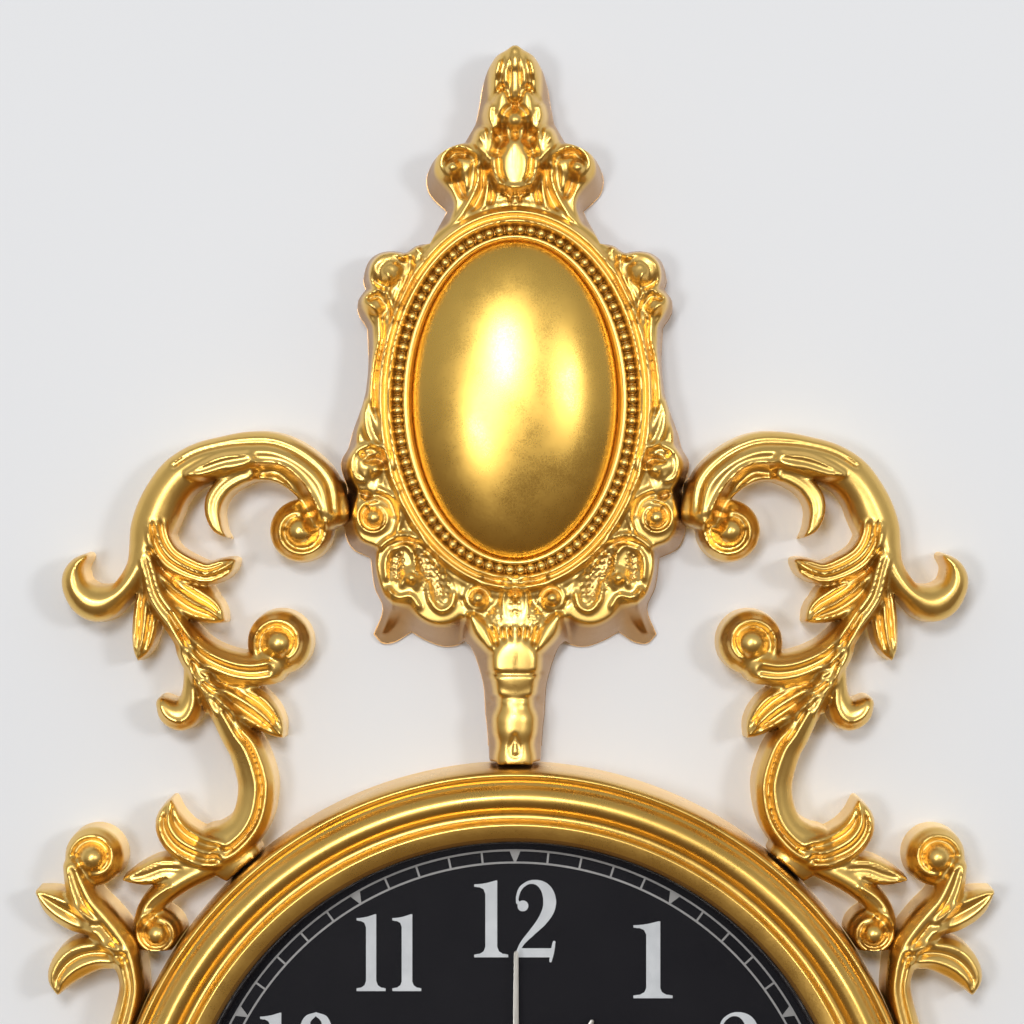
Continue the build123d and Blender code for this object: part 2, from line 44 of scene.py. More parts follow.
# ---- sculpting kernel -------------------------------------------------------
# Castings are drawn in millimetres as a height over the wall, h(x, z), inside
# an outline, from strokes (x, z, half-width), and meshed as one closed skin.
STEEP = 3.5               # fall of a form beyond its own edge
FORM_MARGIN = 9.0         # how far beyond its edge a form is worked out
FORM_SOFT = 0.6           # rounding where two forms meet
RIM_SOFT = 0.8            # rounding of a casting's outer rim
VOLUTE_EYE = 0.42         # a volute's ball, as a share of its radius
VOLUTE_POINTS = 16
CREASE_ANGLE = 55         # degrees, beyond which an edge stays sharp
ROUND_SEGMENTS = 360
RING_CLEAR_R = 183.3      # castings stop here, just outside the ring
CREST_SIDE_X = 76.6       # and arms here, at the crest's leaning flank
CREST_SIDE_LEAN = 0.1
SCROLL_DEPTH = 0.85       # share of each groove's depth on arms and side scrolls
CREST_DEPTH = 0.75
PER_SPAN = 6              # smoothed points for each control point
CELL = 0.65
ARM_CELL = 0.8
BACK = 0.25               # ring and castings start this far off the wall, which bares the
                          # backs of the straps sunk in them; there are no pockets here
LAYER = 1.8               # height of a grid cell, in cells
ARM_DRAFT = 0.025         # lean of a casting's rim, per millimetre of height
CREST_DRAFT = 0.02
PAINTED_SHADE_REACH = 0.009      # metres over which painted shade darkens the gold in a hollow
BEAD_COUNT = 86
BEAD_R = 2.25
BEAD_HEIGHT = 31.5
BEAD_W = 52.5             # half-width and half-height of the oval of beads
BEAD_H = 76.0


def smooth_max(a, b, soft):
    near = np.maximum(soft - np.abs(a - b), 0.0) / soft
    return np.maximum(a, b) + near * near * soft * 0.25


def smooth_line(points, per_span=PER_SPAN):
    """A Catmull-Rom line through control points of x, z and half-width."""
    p = np.array(points, float)
    if len(p) < 3 or isinstance(points, np.ndarray):
        return p
    ends = np.vstack([2 * p[0] - p[1], p, 2 * p[-1] - p[-2]])
    t = np.linspace(0, 1, per_span, endpoint=False)[:, None]
    out = []
    for a, b, c, d in zip(ends, ends[1:], ends[2:], ends[3:]):
        out.append(0.5 * (2 * b + (c - a) * t + (2 * a - 5 * b + 4 * c - d) * t**2
                          + (3 * b - a - 3 * c + d) * t**3))
    line = np.vstack([*out, p[-1:]])
    line[:, 2] = np.maximum(line[:, 2], 0.05)
    return line


def roll(v):
    return np.sqrt(np.maximum(1 - v * v, 0.0))


def flat_roll(v):
    return (1 - np.abs(np.clip(v, -1, 1)) ** 3.5) ** 0.5


def bump(v):
    return np.maximum(1 - v * v, 0.0) ** 2


class Relief:
    """One casting: its outline distance and its top, on a grid over the wall."""

    def __init__(self, low, high, cell):
        self.cell = cell
        self.x = np.arange(low[0], high[0] + cell, cell)
        self.z = np.arange(low[1], high[1] + cell, cell)
        self.X, self.Z = np.meshgrid(self.x, self.z, indexing="ij")
        self.edge = np.full(self.X.shape, 60.0)
        self.top = np.full(self.X.shape, -20.0)
        self.depth = 1.0          # share of a vein's stated height or depth that shows

    def window(self, line, margin):
        reach = line[:, 2].max() + margin
        i0, i1 = np.searchsorted(self.x, (line[:, 0].min() - reach, line[:, 0].max() + reach))
        k0, k1 = np.searchsorted(self.z, (line[:, 1].min() - reach, line[:, 1].max() + reach))
        return slice(i0, i1), slice(k0, k1)

    def measure(self, points, margin):
        """Distance outside the stroke, place across it (-1 to 1) and along it."""
        line = smooth_line(points)
        win = self.window(line, margin)
        X, Z = self.X[win], self.Z[win]
        if len(line) == 1:
            x, z, r = line[0]
            dist = np.hypot(X - x, Z - z)
            return win, dist - r, dist / r, np.zeros(X.shape)
        best = np.full(X.shape, 1e9)
        across = np.zeros(X.shape)
        along = np.zeros(X.shape)
        steps = np.hypot(np.diff(line[:, 0]), np.diff(line[:, 1]))
        run = np.concatenate([[0], np.cumsum(steps)]) / steps.sum()
        for k in range(len(line) - 1):
            (ax, az, ar), (bx, bz, br) = line[k], line[k + 1]
            dx, dz = bx - ax, bz - az
            t = np.clip(((X - ax) * dx + (Z - az) * dz) / (dx * dx + dz * dz + 1e-9), 0, 1)
            px, pz = X - ax - t * dx, Z - az - t * dz
            dist = np.hypot(px, pz)
            r = ar + t * (br - ar)
            d = dist - r
            nearer = d < best
            best = np.where(nearer, d, best)
            across = np.where(nearer, np.sign(dx * pz - dz * px) * dist / r, across)
            along = np.where(nearer, run[k] + t * (run[k + 1] - run[k]), along)
        return win, best, across, along

    def form(self, points, height, rise, profile=roll):
        """Adds a raised form; height may be a pair, for its start and its end."""
        win, d, v, s = self.measure(points, FORM_MARGIN)
        first, last = height if isinstance(height, tuple) else (height, height)
        h = first + (last - first) * s - rise * (1 - profile(v)) - STEEP * np.maximum(d, 0)
        self.top[win] = smooth_max(self.top[win], h, FORM_SOFT)
        self.edge[win] = np.minimum(self.edge[win], d)

    def bead(self, points, rise):
        """Raises a thin ridge on what is there, or cuts a groove if negative."""
        win, d, v, _ = self.measure(points, 1.0)
        rise *= self.depth
        self.top[win] += rise * np.where(d < 0, bump(v), 0.0)

    def rib(self, width, rise, *points):
        """A bead of one half-width, through points (x, z)."""
        self.bead([(x, z, width) for x, z in points], rise)

    def vein(self, points, share, rise, width=0.19):
        """A ridge or groove that runs along a stroke, a share of its half-width aside."""
        line = smooth_line(points)
        ahead = np.gradient(line[:, :2], axis=0)
        ahead /= np.linalg.norm(ahead, axis=1, keepdims=True) + 1e-9
        aside = np.column_stack([-ahead[:, 1], ahead[:, 0]]) * (share * line[:, 2:])
        half = np.maximum(width * line[:, 2:], 0.45)
        self.bead(np.hstack([line[:, :2] + aside, half]), rise)

    def pebbles(self, points, rise):
        """Roughens the ground inside a stroke with small round lumps."""
        win, d, _, _ = self.measure(points, 1.0)
        X, Z = self.X[win], self.Z[win]
        lumps = np.sin(2.3 * X + 1.1 * np.sin(1.7 * Z)) * np.sin(2.1 * Z + 1.3 * np.sin(1.9 * X))
        self.top[win] += rise * np.where(d < 0, lumps, 0.0)

    def band(self, low, high, half_w, rise):
        """A level groove or step across the middle, between two heights z."""
        inside = (self.Z > low) & (self.Z < high) & (np.abs(self.X) < half_w)
        self.top += self.depth * rise * inside

    def ball(self, x, z, radius, height):
        win, _, v, _ = self.measure([(x, z, radius)], 2.0)
        h = height - radius + np.sqrt(np.maximum(radius**2 * (1 - v * v), 0.0))
        self.top[win] = np.where(v < 1, np.maximum(self.top[win], h), self.top[win])

    def soften(self, passes):
        """Rounds every crease a little, as thick paint does."""
        for _ in range(passes):
            for axis in (0, 1):
                near = (np.roll(self.top, 1, axis) + np.roll(self.top, -1, axis)) / 2
                self.top = (self.top + near) / 2

    def solid(self, name, draft, cut=None):
        """Meshes the casting; cut(x, z, h) is positive where it is cut away."""
        high = self.top[self.edge < 0].max() + 2 * self.cell
        step = LAYER * self.cell
        h = np.arange(-1.5 * step, high + step, step)
        top = self.top[:, :, None]
        edge = self.edge[:, :, None]
        field = smooth_max(h - top, edge + draft * h, RIM_SOFT)
        field = np.maximum(field, BACK - h)
        if cut is not None:
            field = np.maximum(field, cut(self.X[:, :, None], self.Z[:, :, None], h))
        origin = np.array([self.x[0], self.z[0], h[0]])
        return net_mesh(name, field, origin, (self.cell, self.cell, step))


def in_scene(name, data):
    obj = bpy.data.objects.new(name, data)
    bpy.context.scene.collection.objects.link(obj)
    return obj


def net_mesh(name, field, origin, spacing):
    """A closed quad skin where field (x, z, height) turns from minus to plus."""
    verts, quads = surface_net(field, origin, np.array(spacing))
    world = np.stack([verts[:, 0], -verts[:, 2], verts[:, 1]], axis=1) * MM
    return mesh_object(name, world, quads)


def surface_net(field, origin, spacing):
    inside = field < 0
    corners = [(i, j, k) for i in (0, 1) for j in (0, 1) for k in (0, 1)]
    n = np.array(field.shape) - 1
    count = np.zeros(n, np.int8)
    for i, j, k in corners:
        count += inside[i:i + n[0], j:j + n[1], k:k + n[2]]
    active = (count > 0) & (count < 8)
    cells = np.argwhere(active)
    number = np.full(active.shape, -1, np.int64)
    number[active] = np.arange(len(cells))
    values = [field[cells[:, 0] + i, cells[:, 1] + j, cells[:, 2] + k] for i, j, k in corners]
    place = np.zeros((len(cells), 3))
    crossings = np.zeros(len(cells))
    for a in range(8):
        for b in range(a + 1, 8):
            step = np.subtract(corners[b], corners[a])
            if np.abs(step).sum() != 1:
                continue
            fa, fb = values[a], values[b]
            cross = (fa < 0) != (fb < 0)
            t = np.where(cross, fa / np.where(cross, fa - fb, 1.0), 0.0)
            place += np.where(cross[:, None], np.array(corners[a]) + t[:, None] * step, 0.0)
            crossings += cross
    verts = origin + (cells + place / crossings[:, None]) * spacing
    quads = []
    for axis in range(3):
        b, c = (axis + 1) % 3, (axis + 2) % 3
        lower = [slice(1, None)] * 3
        lower[axis] = slice(0, -1)
        upper = list(lower)
        upper[axis] = slice(1, None)
        change = inside[tuple(lower)] != inside[tuple(upper)]
        at = np.argwhere(change) + [0 if i == axis else 1 for i in range(3)]
        at = at[(at[:, b] < n[b]) & (at[:, c] < n[c])]
        eb, ec = np.eye(3, dtype=int)[b], np.eye(3, dtype=int)[c]
        ring = [at, at - eb, at - eb - ec, at - ec]
        quad = np.stack([number[p[:, 0], p[:, 1], p[:, 2]] for p in ring], axis=1)
        outward = inside[at[:, 0], at[:, 1], at[:, 2]]
        quads.append(np.where(outward[:, None], quad, quad[:, ::-1]))
    return verts, np.vstack(quads)


def mesh_object(name, verts, faces, smooth=True):
    """A mesh from an array of vertices and an array or list of faces."""
    mesh = bpy.data.meshes.new(name)
    if isinstance(faces, np.ndarray):
        mesh.vertices.add(len(verts))
        mesh.vertices.foreach_set("co", np.ascontiguousarray(verts, np.float32).ravel())
        mesh.loops.add(faces.size)
        mesh.loops.foreach_set("vertex_index", np.ascontiguousarray(faces, np.int32).ravel())
        mesh.polygons.add(len(faces))
        mesh.polygons.foreach_set("loop_start", np.arange(0, faces.size, faces.shape[1], dtype=np.int32))
        mesh.update(calc_edges=True)
        mesh.validate()
    else:
        mesh.from_pydata([tuple(v) for v in verts], [], faces)
    mesh.polygons.foreach_set("use_smooth", [smooth] * len(mesh.polygons))
    if smooth:
        mesh.set_sharp_from_angle(angle=math.radians(CREASE_ANGLE))
    return in_scene(name, mesh)


def bmesh_object(name, bm, smooth=True):
    mesh = bpy.data.meshes.new(name)
    bmesh.ops.recalc_face_normals(bm, faces=bm.faces)
    bm.to_mesh(mesh)
    bm.free()
    mesh.polygons.foreach_set("use_smooth", [smooth] * len(mesh.polygons))
    return in_scene(name, mesh)


def mirrored(obj, name, axis):
    """A copy mirrored across x = 0 (axis 0) or z = 0 (axis 2)."""
    mesh = obj.data.copy()
    mesh.name = name
    co = np.empty(len(mesh.vertices) * 3, np.float32)
    mesh.vertices.foreach_get("co", co)
    co = co.reshape(-1, 3)
    co[:, axis] *= -1
    mesh.vertices.foreach_set("co", co.ravel())
    mesh.flip_normals()
    return in_scene(name, mesh)


def lathe(name, profile, segments, centre=(0.0, 0.0)):
    """Turns closed (radius, height) points, in millimetres, about a Y axis."""
    p = np.array(profile, float)
    turn = np.linspace(0, 2 * math.pi, segments, endpoint=False)
    x = np.outer(np.cos(turn), p[:, 0]) + centre[0]
    z = np.outer(np.sin(turn), p[:, 0]) + centre[1]
    y = np.broadcast_to(-p[:, 1], x.shape)
    verts = np.stack([x, y, z], axis=-1).reshape(-1, 3) * MM
    n = len(p)
    i, j = np.meshgrid(np.arange(segments), np.arange(n), indexing="ij")
    i2, j2 = (i + 1) % segments, (j + 1) % n
    quads = np.stack([i * n + j, i * n + j2, i2 * n + j2, i2 * n + j], axis=-1).reshape(-1, 4)
    return mesh_object(name, verts, quads)


# ---- node material helpers ----------------------------------------------------
NOISE_ROUGHNESS = 0.55
CLOUD = (0.3, 0.7)        # the middle part of a noise's range
# painted shade on a casting's sides, close to the wall
SIDE_SHADE_GOLD = (0.47, 0.27, 0.11)
SIDE_SHADE_FADE = 0.005         # metres over which the front's gold turns into the painted shade of the sides


def fill_ramp(ramp, stops):
    while len(ramp.elements) < len(stops):
        ramp.elements.new(0.5)
    for element, (place, color) in zip(ramp.elements, stops):
        element.position = place
        element.color = (*color, 1)


class Nodes:
    """A small builder for a material's node tree."""

    def __init__(self, name):
        self.material = bpy.data.materials.new(name)
        self.material.use_nodes = True
        self.tree = self.material.node_tree
        self.tree.nodes.clear()
        self.out = self.tree.nodes.new("ShaderNodeOutputMaterial")
        self.shader = self.tree.nodes.new("ShaderNodeBsdfPrincipled")
        self.tree.links.new(self.shader.outputs[0], self.out.inputs[0])
        self.where = self.tree.nodes.new("ShaderNodeTexCoord").outputs["Object"]

    def link(self, a, b):
        self.tree.links.new(a, b)

    def drive(self, socket, source):
        """Links a source to a socket of the shader."""
        self.link(source, self.shader.inputs[socket])

    def set(self, **values):
        for key, value in values.items():
            self.shader.inputs[key.replace("_", " ")].default_value = value

    def noise(self, scale, detail, stretch=None):
        node = self.tree.nodes.new("ShaderNodeTexNoise")
        node.inputs["Scale"].default_value = scale
        node.inputs["Detail"].default_value = detail
        node.inputs["Roughness"].default_value = NOISE_ROUGHNESS
        where = self.where
        if stretch:
            mapping = self.tree.nodes.new("ShaderNodeMapping")
            mapping.inputs["Scale"].default_value = stretch
            self.link(where, mapping.inputs[0])
            where = mapping.outputs[0]
        self.link(where, node.inputs["Vector"])
        return node.outputs["Fac"]

    def cloud(self, scale, detail, low=0, high=1):
        """Noise with the middle of its range spread out from low to high."""
        return self.span(self.noise(scale, detail), low, high, *CLOUD)

    def ramp(self, source, stops):
        node = self.tree.nodes.new("ShaderNodeValToRGB")
        fill_ramp(node.color_ramp, stops)
        self.link(source, node.inputs[0])
        return node.outputs[0]

    def span(self, source, low, high, a=0.0, b=1.0):
        node = self.tree.nodes.new("ShaderNodeMapRange")
        node.inputs["From Min"].default_value = a
        node.inputs["From Max"].default_value = b
        node.inputs["To Min"].default_value = low
        node.inputs["To Max"].default_value = high
        self.link(source, node.inputs[0])
        return node.outputs[0]

    def mix(self, fac, a, b):
        """A blend from a to b, each of them a colour or a socket."""
        node = self.tree.nodes.new("ShaderNodeMix")
        node.data_type = "RGBA"
        self.link(fac, node.inputs["Factor"])
        for place, value in ((6, a), (7, b)):
            if isinstance(value, tuple):
                node.inputs[place].default_value = (*value, 1)
            else:
                self.link(value, node.inputs[place])
        return node.outputs[2]

    def add(self, a, b):
        node = self.tree.nodes.new("ShaderNodeMath")
        node.operation = "ADD"
        self.link(a, node.inputs[0])
        self.link(b, node.inputs[1])
        return node.outputs[0]

    def bump(self, *layers):
        """Layers of (height source, distance in millimetres)."""
        normal = None
        for source, distance in layers:
            node = self.tree.nodes.new("ShaderNodeBump")
            node.inputs["Strength"].default_value = 1.0
            node.inputs["Distance"].default_value = distance * MM
            self.link(source, node.inputs["Height"])
            if normal is not None:
                self.link(normal, node.inputs["Normal"])
            normal = node.outputs[0]
        self.link(normal, self.shader.inputs["Normal"])


def gold_paint(name, light, dark, hollow, rough, grain, sides=None):
    """Metallic gold paint: cloudy tone, painted shade (a brown tint) in the hollows, fine grain.

    sides is how far from the wall, in metres, the painted shade on the sides reaches."""
    m = Nodes(name)
    tone = m.mix(m.cloud(18, 4), dark, light)
    # Painted shade: the hollow colour replaces the gold where ambient occlusion finds surfaces close by.
    near = m.tree.nodes.new("ShaderNodeAmbientOcclusion")
    near.samples = 8
    near.inputs["Distance"].default_value = PAINTED_SHADE_REACH
    shown = m.mix(m.span(near.outputs["AO"], 0, 1, 0.25, 0.8), hollow, tone)
    # Painted shade: the gold turns darker and duller on the parts nearest the wall.
    if sides:
        split = m.tree.nodes.new("ShaderNodeSeparateXYZ")
        m.link(m.where, split.inputs[0])
        flank = m.span(split.outputs["Y"], 0, 1, -sides, -sides + SIDE_SHADE_FADE)
        shown = m.mix(flank, shown, SIDE_SHADE_GOLD)
    m.drive("Base Color", shown)
    m.set(Metallic=1.0)
    speck = m.noise(1500, 2)
    patches = m.cloud(60, 3, rough - 0.04, rough + 0.05)
    m.drive("Roughness", m.add(patches, m.span(speck, -0.04, 0.04, *CLOUD)))
    m.bump((m.noise(240, 2), 0.05 * grain), (speck, 0.016 * grain))
    return m.material


def metal(name, light, dark, rough, stretch):
    """Worked metal: fine drawn lines, soft stains and uneven polish."""
    m = Nodes(name)
    lines = m.noise(900, 3, stretch)
    m.drive("Base Color", m.mix(m.cloud(90, 4), dark, light))
    m.set(Metallic=1.0)
    m.drive("Roughness", m.span(lines, rough - 0.08, rough + 0.1, *CLOUD))
    m.bump((lines, 0.02))
    return m.material


def moulded(name, light, dark, rough, grain, gloss=0.5):
    """Moulded plastic or rubber: faint mottling and a fine texture."""
    m = Nodes(name)
    m.drive("Base Color", m.mix(m.cloud(45, 4), dark, light))
    m.drive("Roughness", m.cloud(300, 3, rough - 0.06, rough + 0.08))
    m.shader.inputs["Specular IOR Level"].default_value = gloss
    m.bump((m.noise(1100, 2), grain))
    return m.material


def clear_lens():
    m = Nodes("lens_glass")
    m.set(Alpha=0.05, Roughness=0.03, IOR=1.5)
    m.drive("Base Color", m.mix(m.cloud(25, 3), (0.02, 0.02, 0.03), (0.04, 0.04, 0.05)))
    return m.material


def circuit_board():
    """Green resist over etched tracks."""
    m = Nodes("board")
    brick = m.tree.nodes.new("ShaderNodeTexBrick")
    m.link(m.where, brick.inputs["Vector"])
    brick.inputs["Scale"].default_value = 320
    for key, color in (("Color1", (0.01, 0.16, 0.05)), ("Color2", (0.012, 0.20, 0.06)),
                       ("Mortar", (0.04, 0.32, 0.12))):
        brick.inputs[key].default_value = (*color, 1)
    m.drive("Base Color", brick.outputs["Color"])
    m.set(Roughness=0.35)
    m.bump((brick.outputs["Fac"], 0.03))
    return m.material


def wound_wire():
    """Enamelled copper wire in close turns."""
    m = Nodes("copper")
    wave = m.tree.nodes.new("ShaderNodeTexWave")
    m.link(m.where, wave.inputs["Vector"])
    wave.inputs["Scale"].default_value = 900
    wave.inputs["Distortion"].default_value = 0.6
    stops = [(0.0, (0.25, 0.07, 0.02)), (1.0, (0.75, 0.30, 0.12))]
    m.drive("Base Color", m.ramp(wave.outputs["Fac"], stops))
    m.set(Metallic=0.9, Roughness=0.32)
    m.bump((wave.outputs["Fac"], 0.08))
    return m.material


def battery_sleeve():
    """A plain cell: dark sleeve with a copper-coloured end band."""
    m = Nodes("sleeve")
    split = m.tree.nodes.new("ShaderNodeSeparateXYZ")
    m.link(m.where, split.inputs[0])
    level = m.span(split.outputs["Z"], 0, 1, -0.024, 0.028)
    stops = [(0.0, (0.02, 0.02, 0.022)), (0.68, (0.02, 0.02, 0.022)), (0.69, (0.55, 0.28, 0.12)),
             (1.0, (0.60, 0.32, 0.14))]
    m.drive("Base Color", m.ramp(level, stops))
    m.drive("Roughness", m.cloud(200, 2, 0.22, 0.34))
    m.bump((m.noise(400, 2), 0.02))
    return m.material


def printed(name, light, dark):
    """Screen-printed ink, slightly uneven."""
    m = Nodes(name)
    m.drive("Base Color", m.mix(m.cloud(120, 3), dark, light))
    m.drive("Roughness", m.cloud(500, 2, 0.42, 0.55))
    return m.material


def make_materials():
    # The third colour of each gold is painted shade, laid into its hollows.
    cast_gold = ((0.88, 0.60, 0.185), (0.82, 0.53, 0.150), (0.62, 0.40, 0.130), 0.33, 0.7)
    return {
        "gold": gold_paint("gold_paint", *cast_gold),
        # The crest's sides get painted shade within 30 mm of the wall.
        "crest_gold": gold_paint("gold_crest", *cast_gold, sides=0.030),
        # A darker copy of the casting gold for the ring: painted shade, with darker painted shade in its
        # hollows.
        "ring_shaded_gold": gold_paint("shaded_gold_for_ring", (0.80, 0.51, 0.130), (0.73, 0.45, 0.110),
                                (0.50, 0.29, 0.080), 0.31, 0.5),
        "smooth_gold": gold_paint("gold_smooth", (0.86, 0.55, 0.125), (0.81, 0.50, 0.105),
                                  (0.66, 0.38, 0.085), 0.29, 0.3),
        "dial_black": moulded("dial_black", (0.010, 0.010, 0.013), (0.008, 0.008, 0.011), 0.42,
                              0.01, 0.08),
        "numeral_white": printed("numeral_white", (0.78, 0.82, 0.86), (0.66, 0.70, 0.74)),
        # The track's print is set greyer than the numerals' white: partly painted shade from the ring's lip.
        "track_print_and_shade": printed("track_print_and_shade", (0.46, 0.46, 0.46), (0.36, 0.36, 0.36)),
        # Dark brown painted reflection of the black dial in the gold inner wall, with painted shade.
        "brown_gloss": moulded("brown_gloss", (0.028, 0.014, 0.008), (0.012, 0.008, 0.006), 0.16, 0.01),
        "hand_silver": metal("hand_silver", (0.62, 0.60, 0.56), (0.46, 0.45, 0.42), 0.34, (1, 1, 0.05)),
        "lens_glass": clear_lens(),
        "rubber": moulded("rubber", (0.015, 0.015, 0.015), (0.008, 0.008, 0.008), 0.7, 0.05, 0.2),
        "steel": metal("zinc_steel", (0.62, 0.63, 0.66), (0.42, 0.43, 0.46), 0.36, (0.1, 1, 1)),
        "brass": metal("brass_turned", (0.78, 0.58, 0.25), (0.62, 0.42, 0.15), 0.28, (1, 0.1, 1)),
        "black_plastic": moulded("black_plastic", (0.022, 0.022, 0.024), (0.014, 0.014, 0.015), 0.48, 0.05),
        "sleeve": battery_sleeve(),
        "nickel": metal("nickel_spring", (0.72, 0.70, 0.66), (0.55, 0.53, 0.50), 0.25, (1, 1, 0.1)),
        "board": circuit_board(),
        "copper": wound_wire(),
        "acetal": moulded("white_acetal", (0.80, 0.80, 0.77), (0.72, 0.72, 0.68), 0.40, 0.02),
    }


MATERIALS = make_materials()
CAD_FINISH = {
    "brass": ["minute_arbor", "hand_nut", "dial_nut", "dial_washer", "pendulum_rod", "rating_nut"],
    "steel": ["dial_clips", "dial_clip_screws", "joining_straps", "strap_screws", "hanger_plate",
              "hanger_screws", "movement_screws", "motor_stator", "pendulum_pin", "rocker_magnet"],
    "black_plastic": ["movement_case", "movement_cover"],
    "acetal": ["hour_wheel", "intermediate_wheel", "setting_knob", "pendulum_rocker"],
    "nickel": ["battery_contacts"],
    "copper": ["motor_coil", "pendulum_coil"],
    "sleeve": ["battery"],
    "board": ["circuit_board"],
    "rubber": ["lens_gasket"],
    "lens_glass": ["lens"],
    "dial_black": ["dial_plate"],
}


def dress(obj, material):
    obj.data.materials.clear()
    obj.data.materials.append(material)


def add_piece(obj, material, body="root"):
    dress(obj, MATERIALS[material])
    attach(obj, body)


def finish_piece(obj, node, material, body="root"):
    add_piece(obj, material, body)
    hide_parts(node)


# ---- ornament ----------------------------------------------------------------
# Every stroke is a list of (x, z, half-width), drawn on the clock's right side.
def volute(r, x, z, radius, height, start, turns):
    """A scroll's end: a spiral rim and groove that wind in to a ball.

    The spiral starts at an angle in degrees from +X; negative turns wind clockwise.
    """
    r.form([(x, z, radius)], height - 4, 0.8 * radius)
    t = np.linspace(0, 1, VOLUTE_POINTS)
    angle = math.radians(start) + 2 * math.pi * turns * t
    for share, width, rise in ((0.84, 0.10, 3.0), (0.63, 0.09, -3.0)):
        reach = radius * (share - 0.28 * t)
        half = np.full(VOLUTE_POINTS, width * radius)
        line = [x + reach * np.cos(angle), z + reach * np.sin(angle), half]
        r.bead(np.column_stack(line), rise)
    r.ball(x, z, VOLUTE_EYE * radius, height + 1)


def leaf(r, points, height, rise, lift=2.3, shares=(0.68, 0.34, 0.0, -0.34, -0.68)):
    """A leaf or fluted stem: ridges and grooves in turn, side by side along it."""
    r.form(points, height, rise)
    for count, share in enumerate(shares):
        r.vein(points, share, lift if count % 2 == 0 else -1.15 * lift)


def sculpt_arm(r):
    # arch, its return hook and the volute at its inner end
    arch = [(85, 295, 8), (88.5, 307, 10.5), (97, 315.5, 11), (108, 320.5, 11.5), (119, 321, 11.5),
            (130, 320.5, 10), (141, 317.5, 10), (150, 312, 10), (156, 304.5, 10), (160, 296, 10.5),
            (163, 288, 10), (165, 280, 8.5), (168, 272, 6.5), (172, 265, 6), (177.5, 259, 6),
            (185, 255, 8.5), (191, 256, 8.5), (196, 261, 7), (197.5, 266.5, 6), (196, 272, 4),
            (192, 276, 2)]
    r.form(arch, 34, 12)
    r.form([(82, 306, 6), (80, 296, 7)], 28, 5)
    volute(r, 96, 287.5, 14.5, 36, 160, 0.85)
    r.rib(4, -6, (115, 314), (106, 314), (98, 307), (93, 298), (91, 290))
    r.rib(1.6, 2, (116, 310.5), (104, 308.5), (98, 302.5), (95.5, 298.5))
    r.vein(arch[:8], 0.5, -3.5, 0.12)
    r.vein(arch[:5], 0.15, 1.4, 0.12)
    r.rib(1.5, 3.2, (119, 318), (105, 317), (97, 312), (91, 304), (87, 296))
    # leaf wrapped round the arch, and the curl that springs from it
    wrap = [(119, 319.5, 4), (130, 317.5, 5), (139, 314.5, 4), (146, 312.5, 1.5)]
    leaf(r, wrap, 37, 5, 1.6, (0.6, 0.1, -0.4))
    curl = [(119, 313, 4.5), (124, 311.5, 5), (130, 307.5, 5), (134, 302, 5), (135, 296, 4.5),
            (133.5, 290, 3.5), (131, 286.5, 2), (128, 284, 0.5)]
    leaf(r, curl, 34, 10, 2.5, (0.75, 0, -0.75))
    # leaves that curl inwards under the arch
    leaf(r, [(160, 291, 5.5), (158.5, 283, 6), (154, 276, 6), (146, 271, 6), (138, 268.5, 5.5),
             (131, 270.5, 5), (127, 273, 3), (124.5, 275, 0.5)], 34, 9)
    r.form([(156, 276, 4), (148, 267, 5), (140, 261, 4), (134.5, 259, 1)], 27, 4)
    leaf(r, [(163, 277, 3.5), (158.5, 268, 6), (151.5, 261, 8), (143.5, 255.5, 8.5), (136.5, 252, 6.5),
             (130, 247, 1)], 31, 7)
    r.rib(1.2, -3, (163, 279), (159, 271.5), (152, 266.5), (144, 264), (136, 263.5))
    # small outer leaf
    leaf(r, [(162.5, 270, 2.5), (164.5, 259, 5.5), (165.5, 247, 6.5), (167, 236.5, 5), (169, 229, 0.5)],
         29, 7)
    # stem down to the ring
    upper = [(165, 276, 4.5), (163, 268, 5), (160, 258, 5.5), (152.5, 247, 6), (147.5, 239, 6),
             (145.5, 232, 6), (139, 221, 6), (131, 207, 6.5)]
    lower = [(131, 207, 6.5), (125, 196.5, 7.5), (120, 189, 8.5), (116, 176.5, 9), (116, 167.5, 9),
             (118, 159.5, 9), (122, 153, 9), (128.5, 147.5, 10), (136, 144.5, 10.5)]
    leaf(r, upper, 35, 11, 2.2, (0.45, 0, -0.45))
    r.form(lower, 35, 11)
    for share, rise in ((0.55, 1.8), (0.27, -4), (0.0, 1.8)):
        r.vein(lower, -share, rise, 0.14)
    # branch and lower volute
    branch = [(153.5, 251.5, 3.5), (147.5, 241.5, 6), (139.5, 233, 7), (128.5, 227.5, 7.5),
              (118.5, 225.5, 8), (110, 226.5, 8.5)]
    volute(r, 105.5, 237.5, 15, 37, 275, 0.9)
    leaf(r, branch, 33, 10, 2.2, (0.55, 0.15, -0.25))
    r.bead([(143, 229, 1.3), (131, 220, 1.3), (118.5, 217.5, 1.3), (107.5, 219.5, 1.3), (98, 226.5, 1.3)],
           -2.6)
    # leaf below the branch
    leaf(r, [(139, 221, 4), (127.5, 215, 8), (117, 208.5, 9), (109.5, 202, 6.5), (104, 195, 1)], 30, 7)
    r.rib(1.3, -4, (124, 203), (118, 198), (110.5, 195))
    r.rib(1.2, -3, (125, 218.5), (115, 215.5), (108, 213.5))
    # small hook on the outer side, with a pebbled patch inside it
    hook = [(145.5, 228, 3.5), (145, 217.5, 4.5), (145.5, 210.5, 6), (149, 205, 7.5), (154, 206, 6.5),
            (157.5, 210, 4)]
    r.form(hook, 31, 10)
    r.vein(hook, -0.35, 2.6, 0.22)
    patch = [(141.5, 226.5, 3), (139.5, 216.5, 3.5), (137.5, 207, 2)]
    r.form(patch, 31, 5)
    r.pebbles(patch, 0.7)
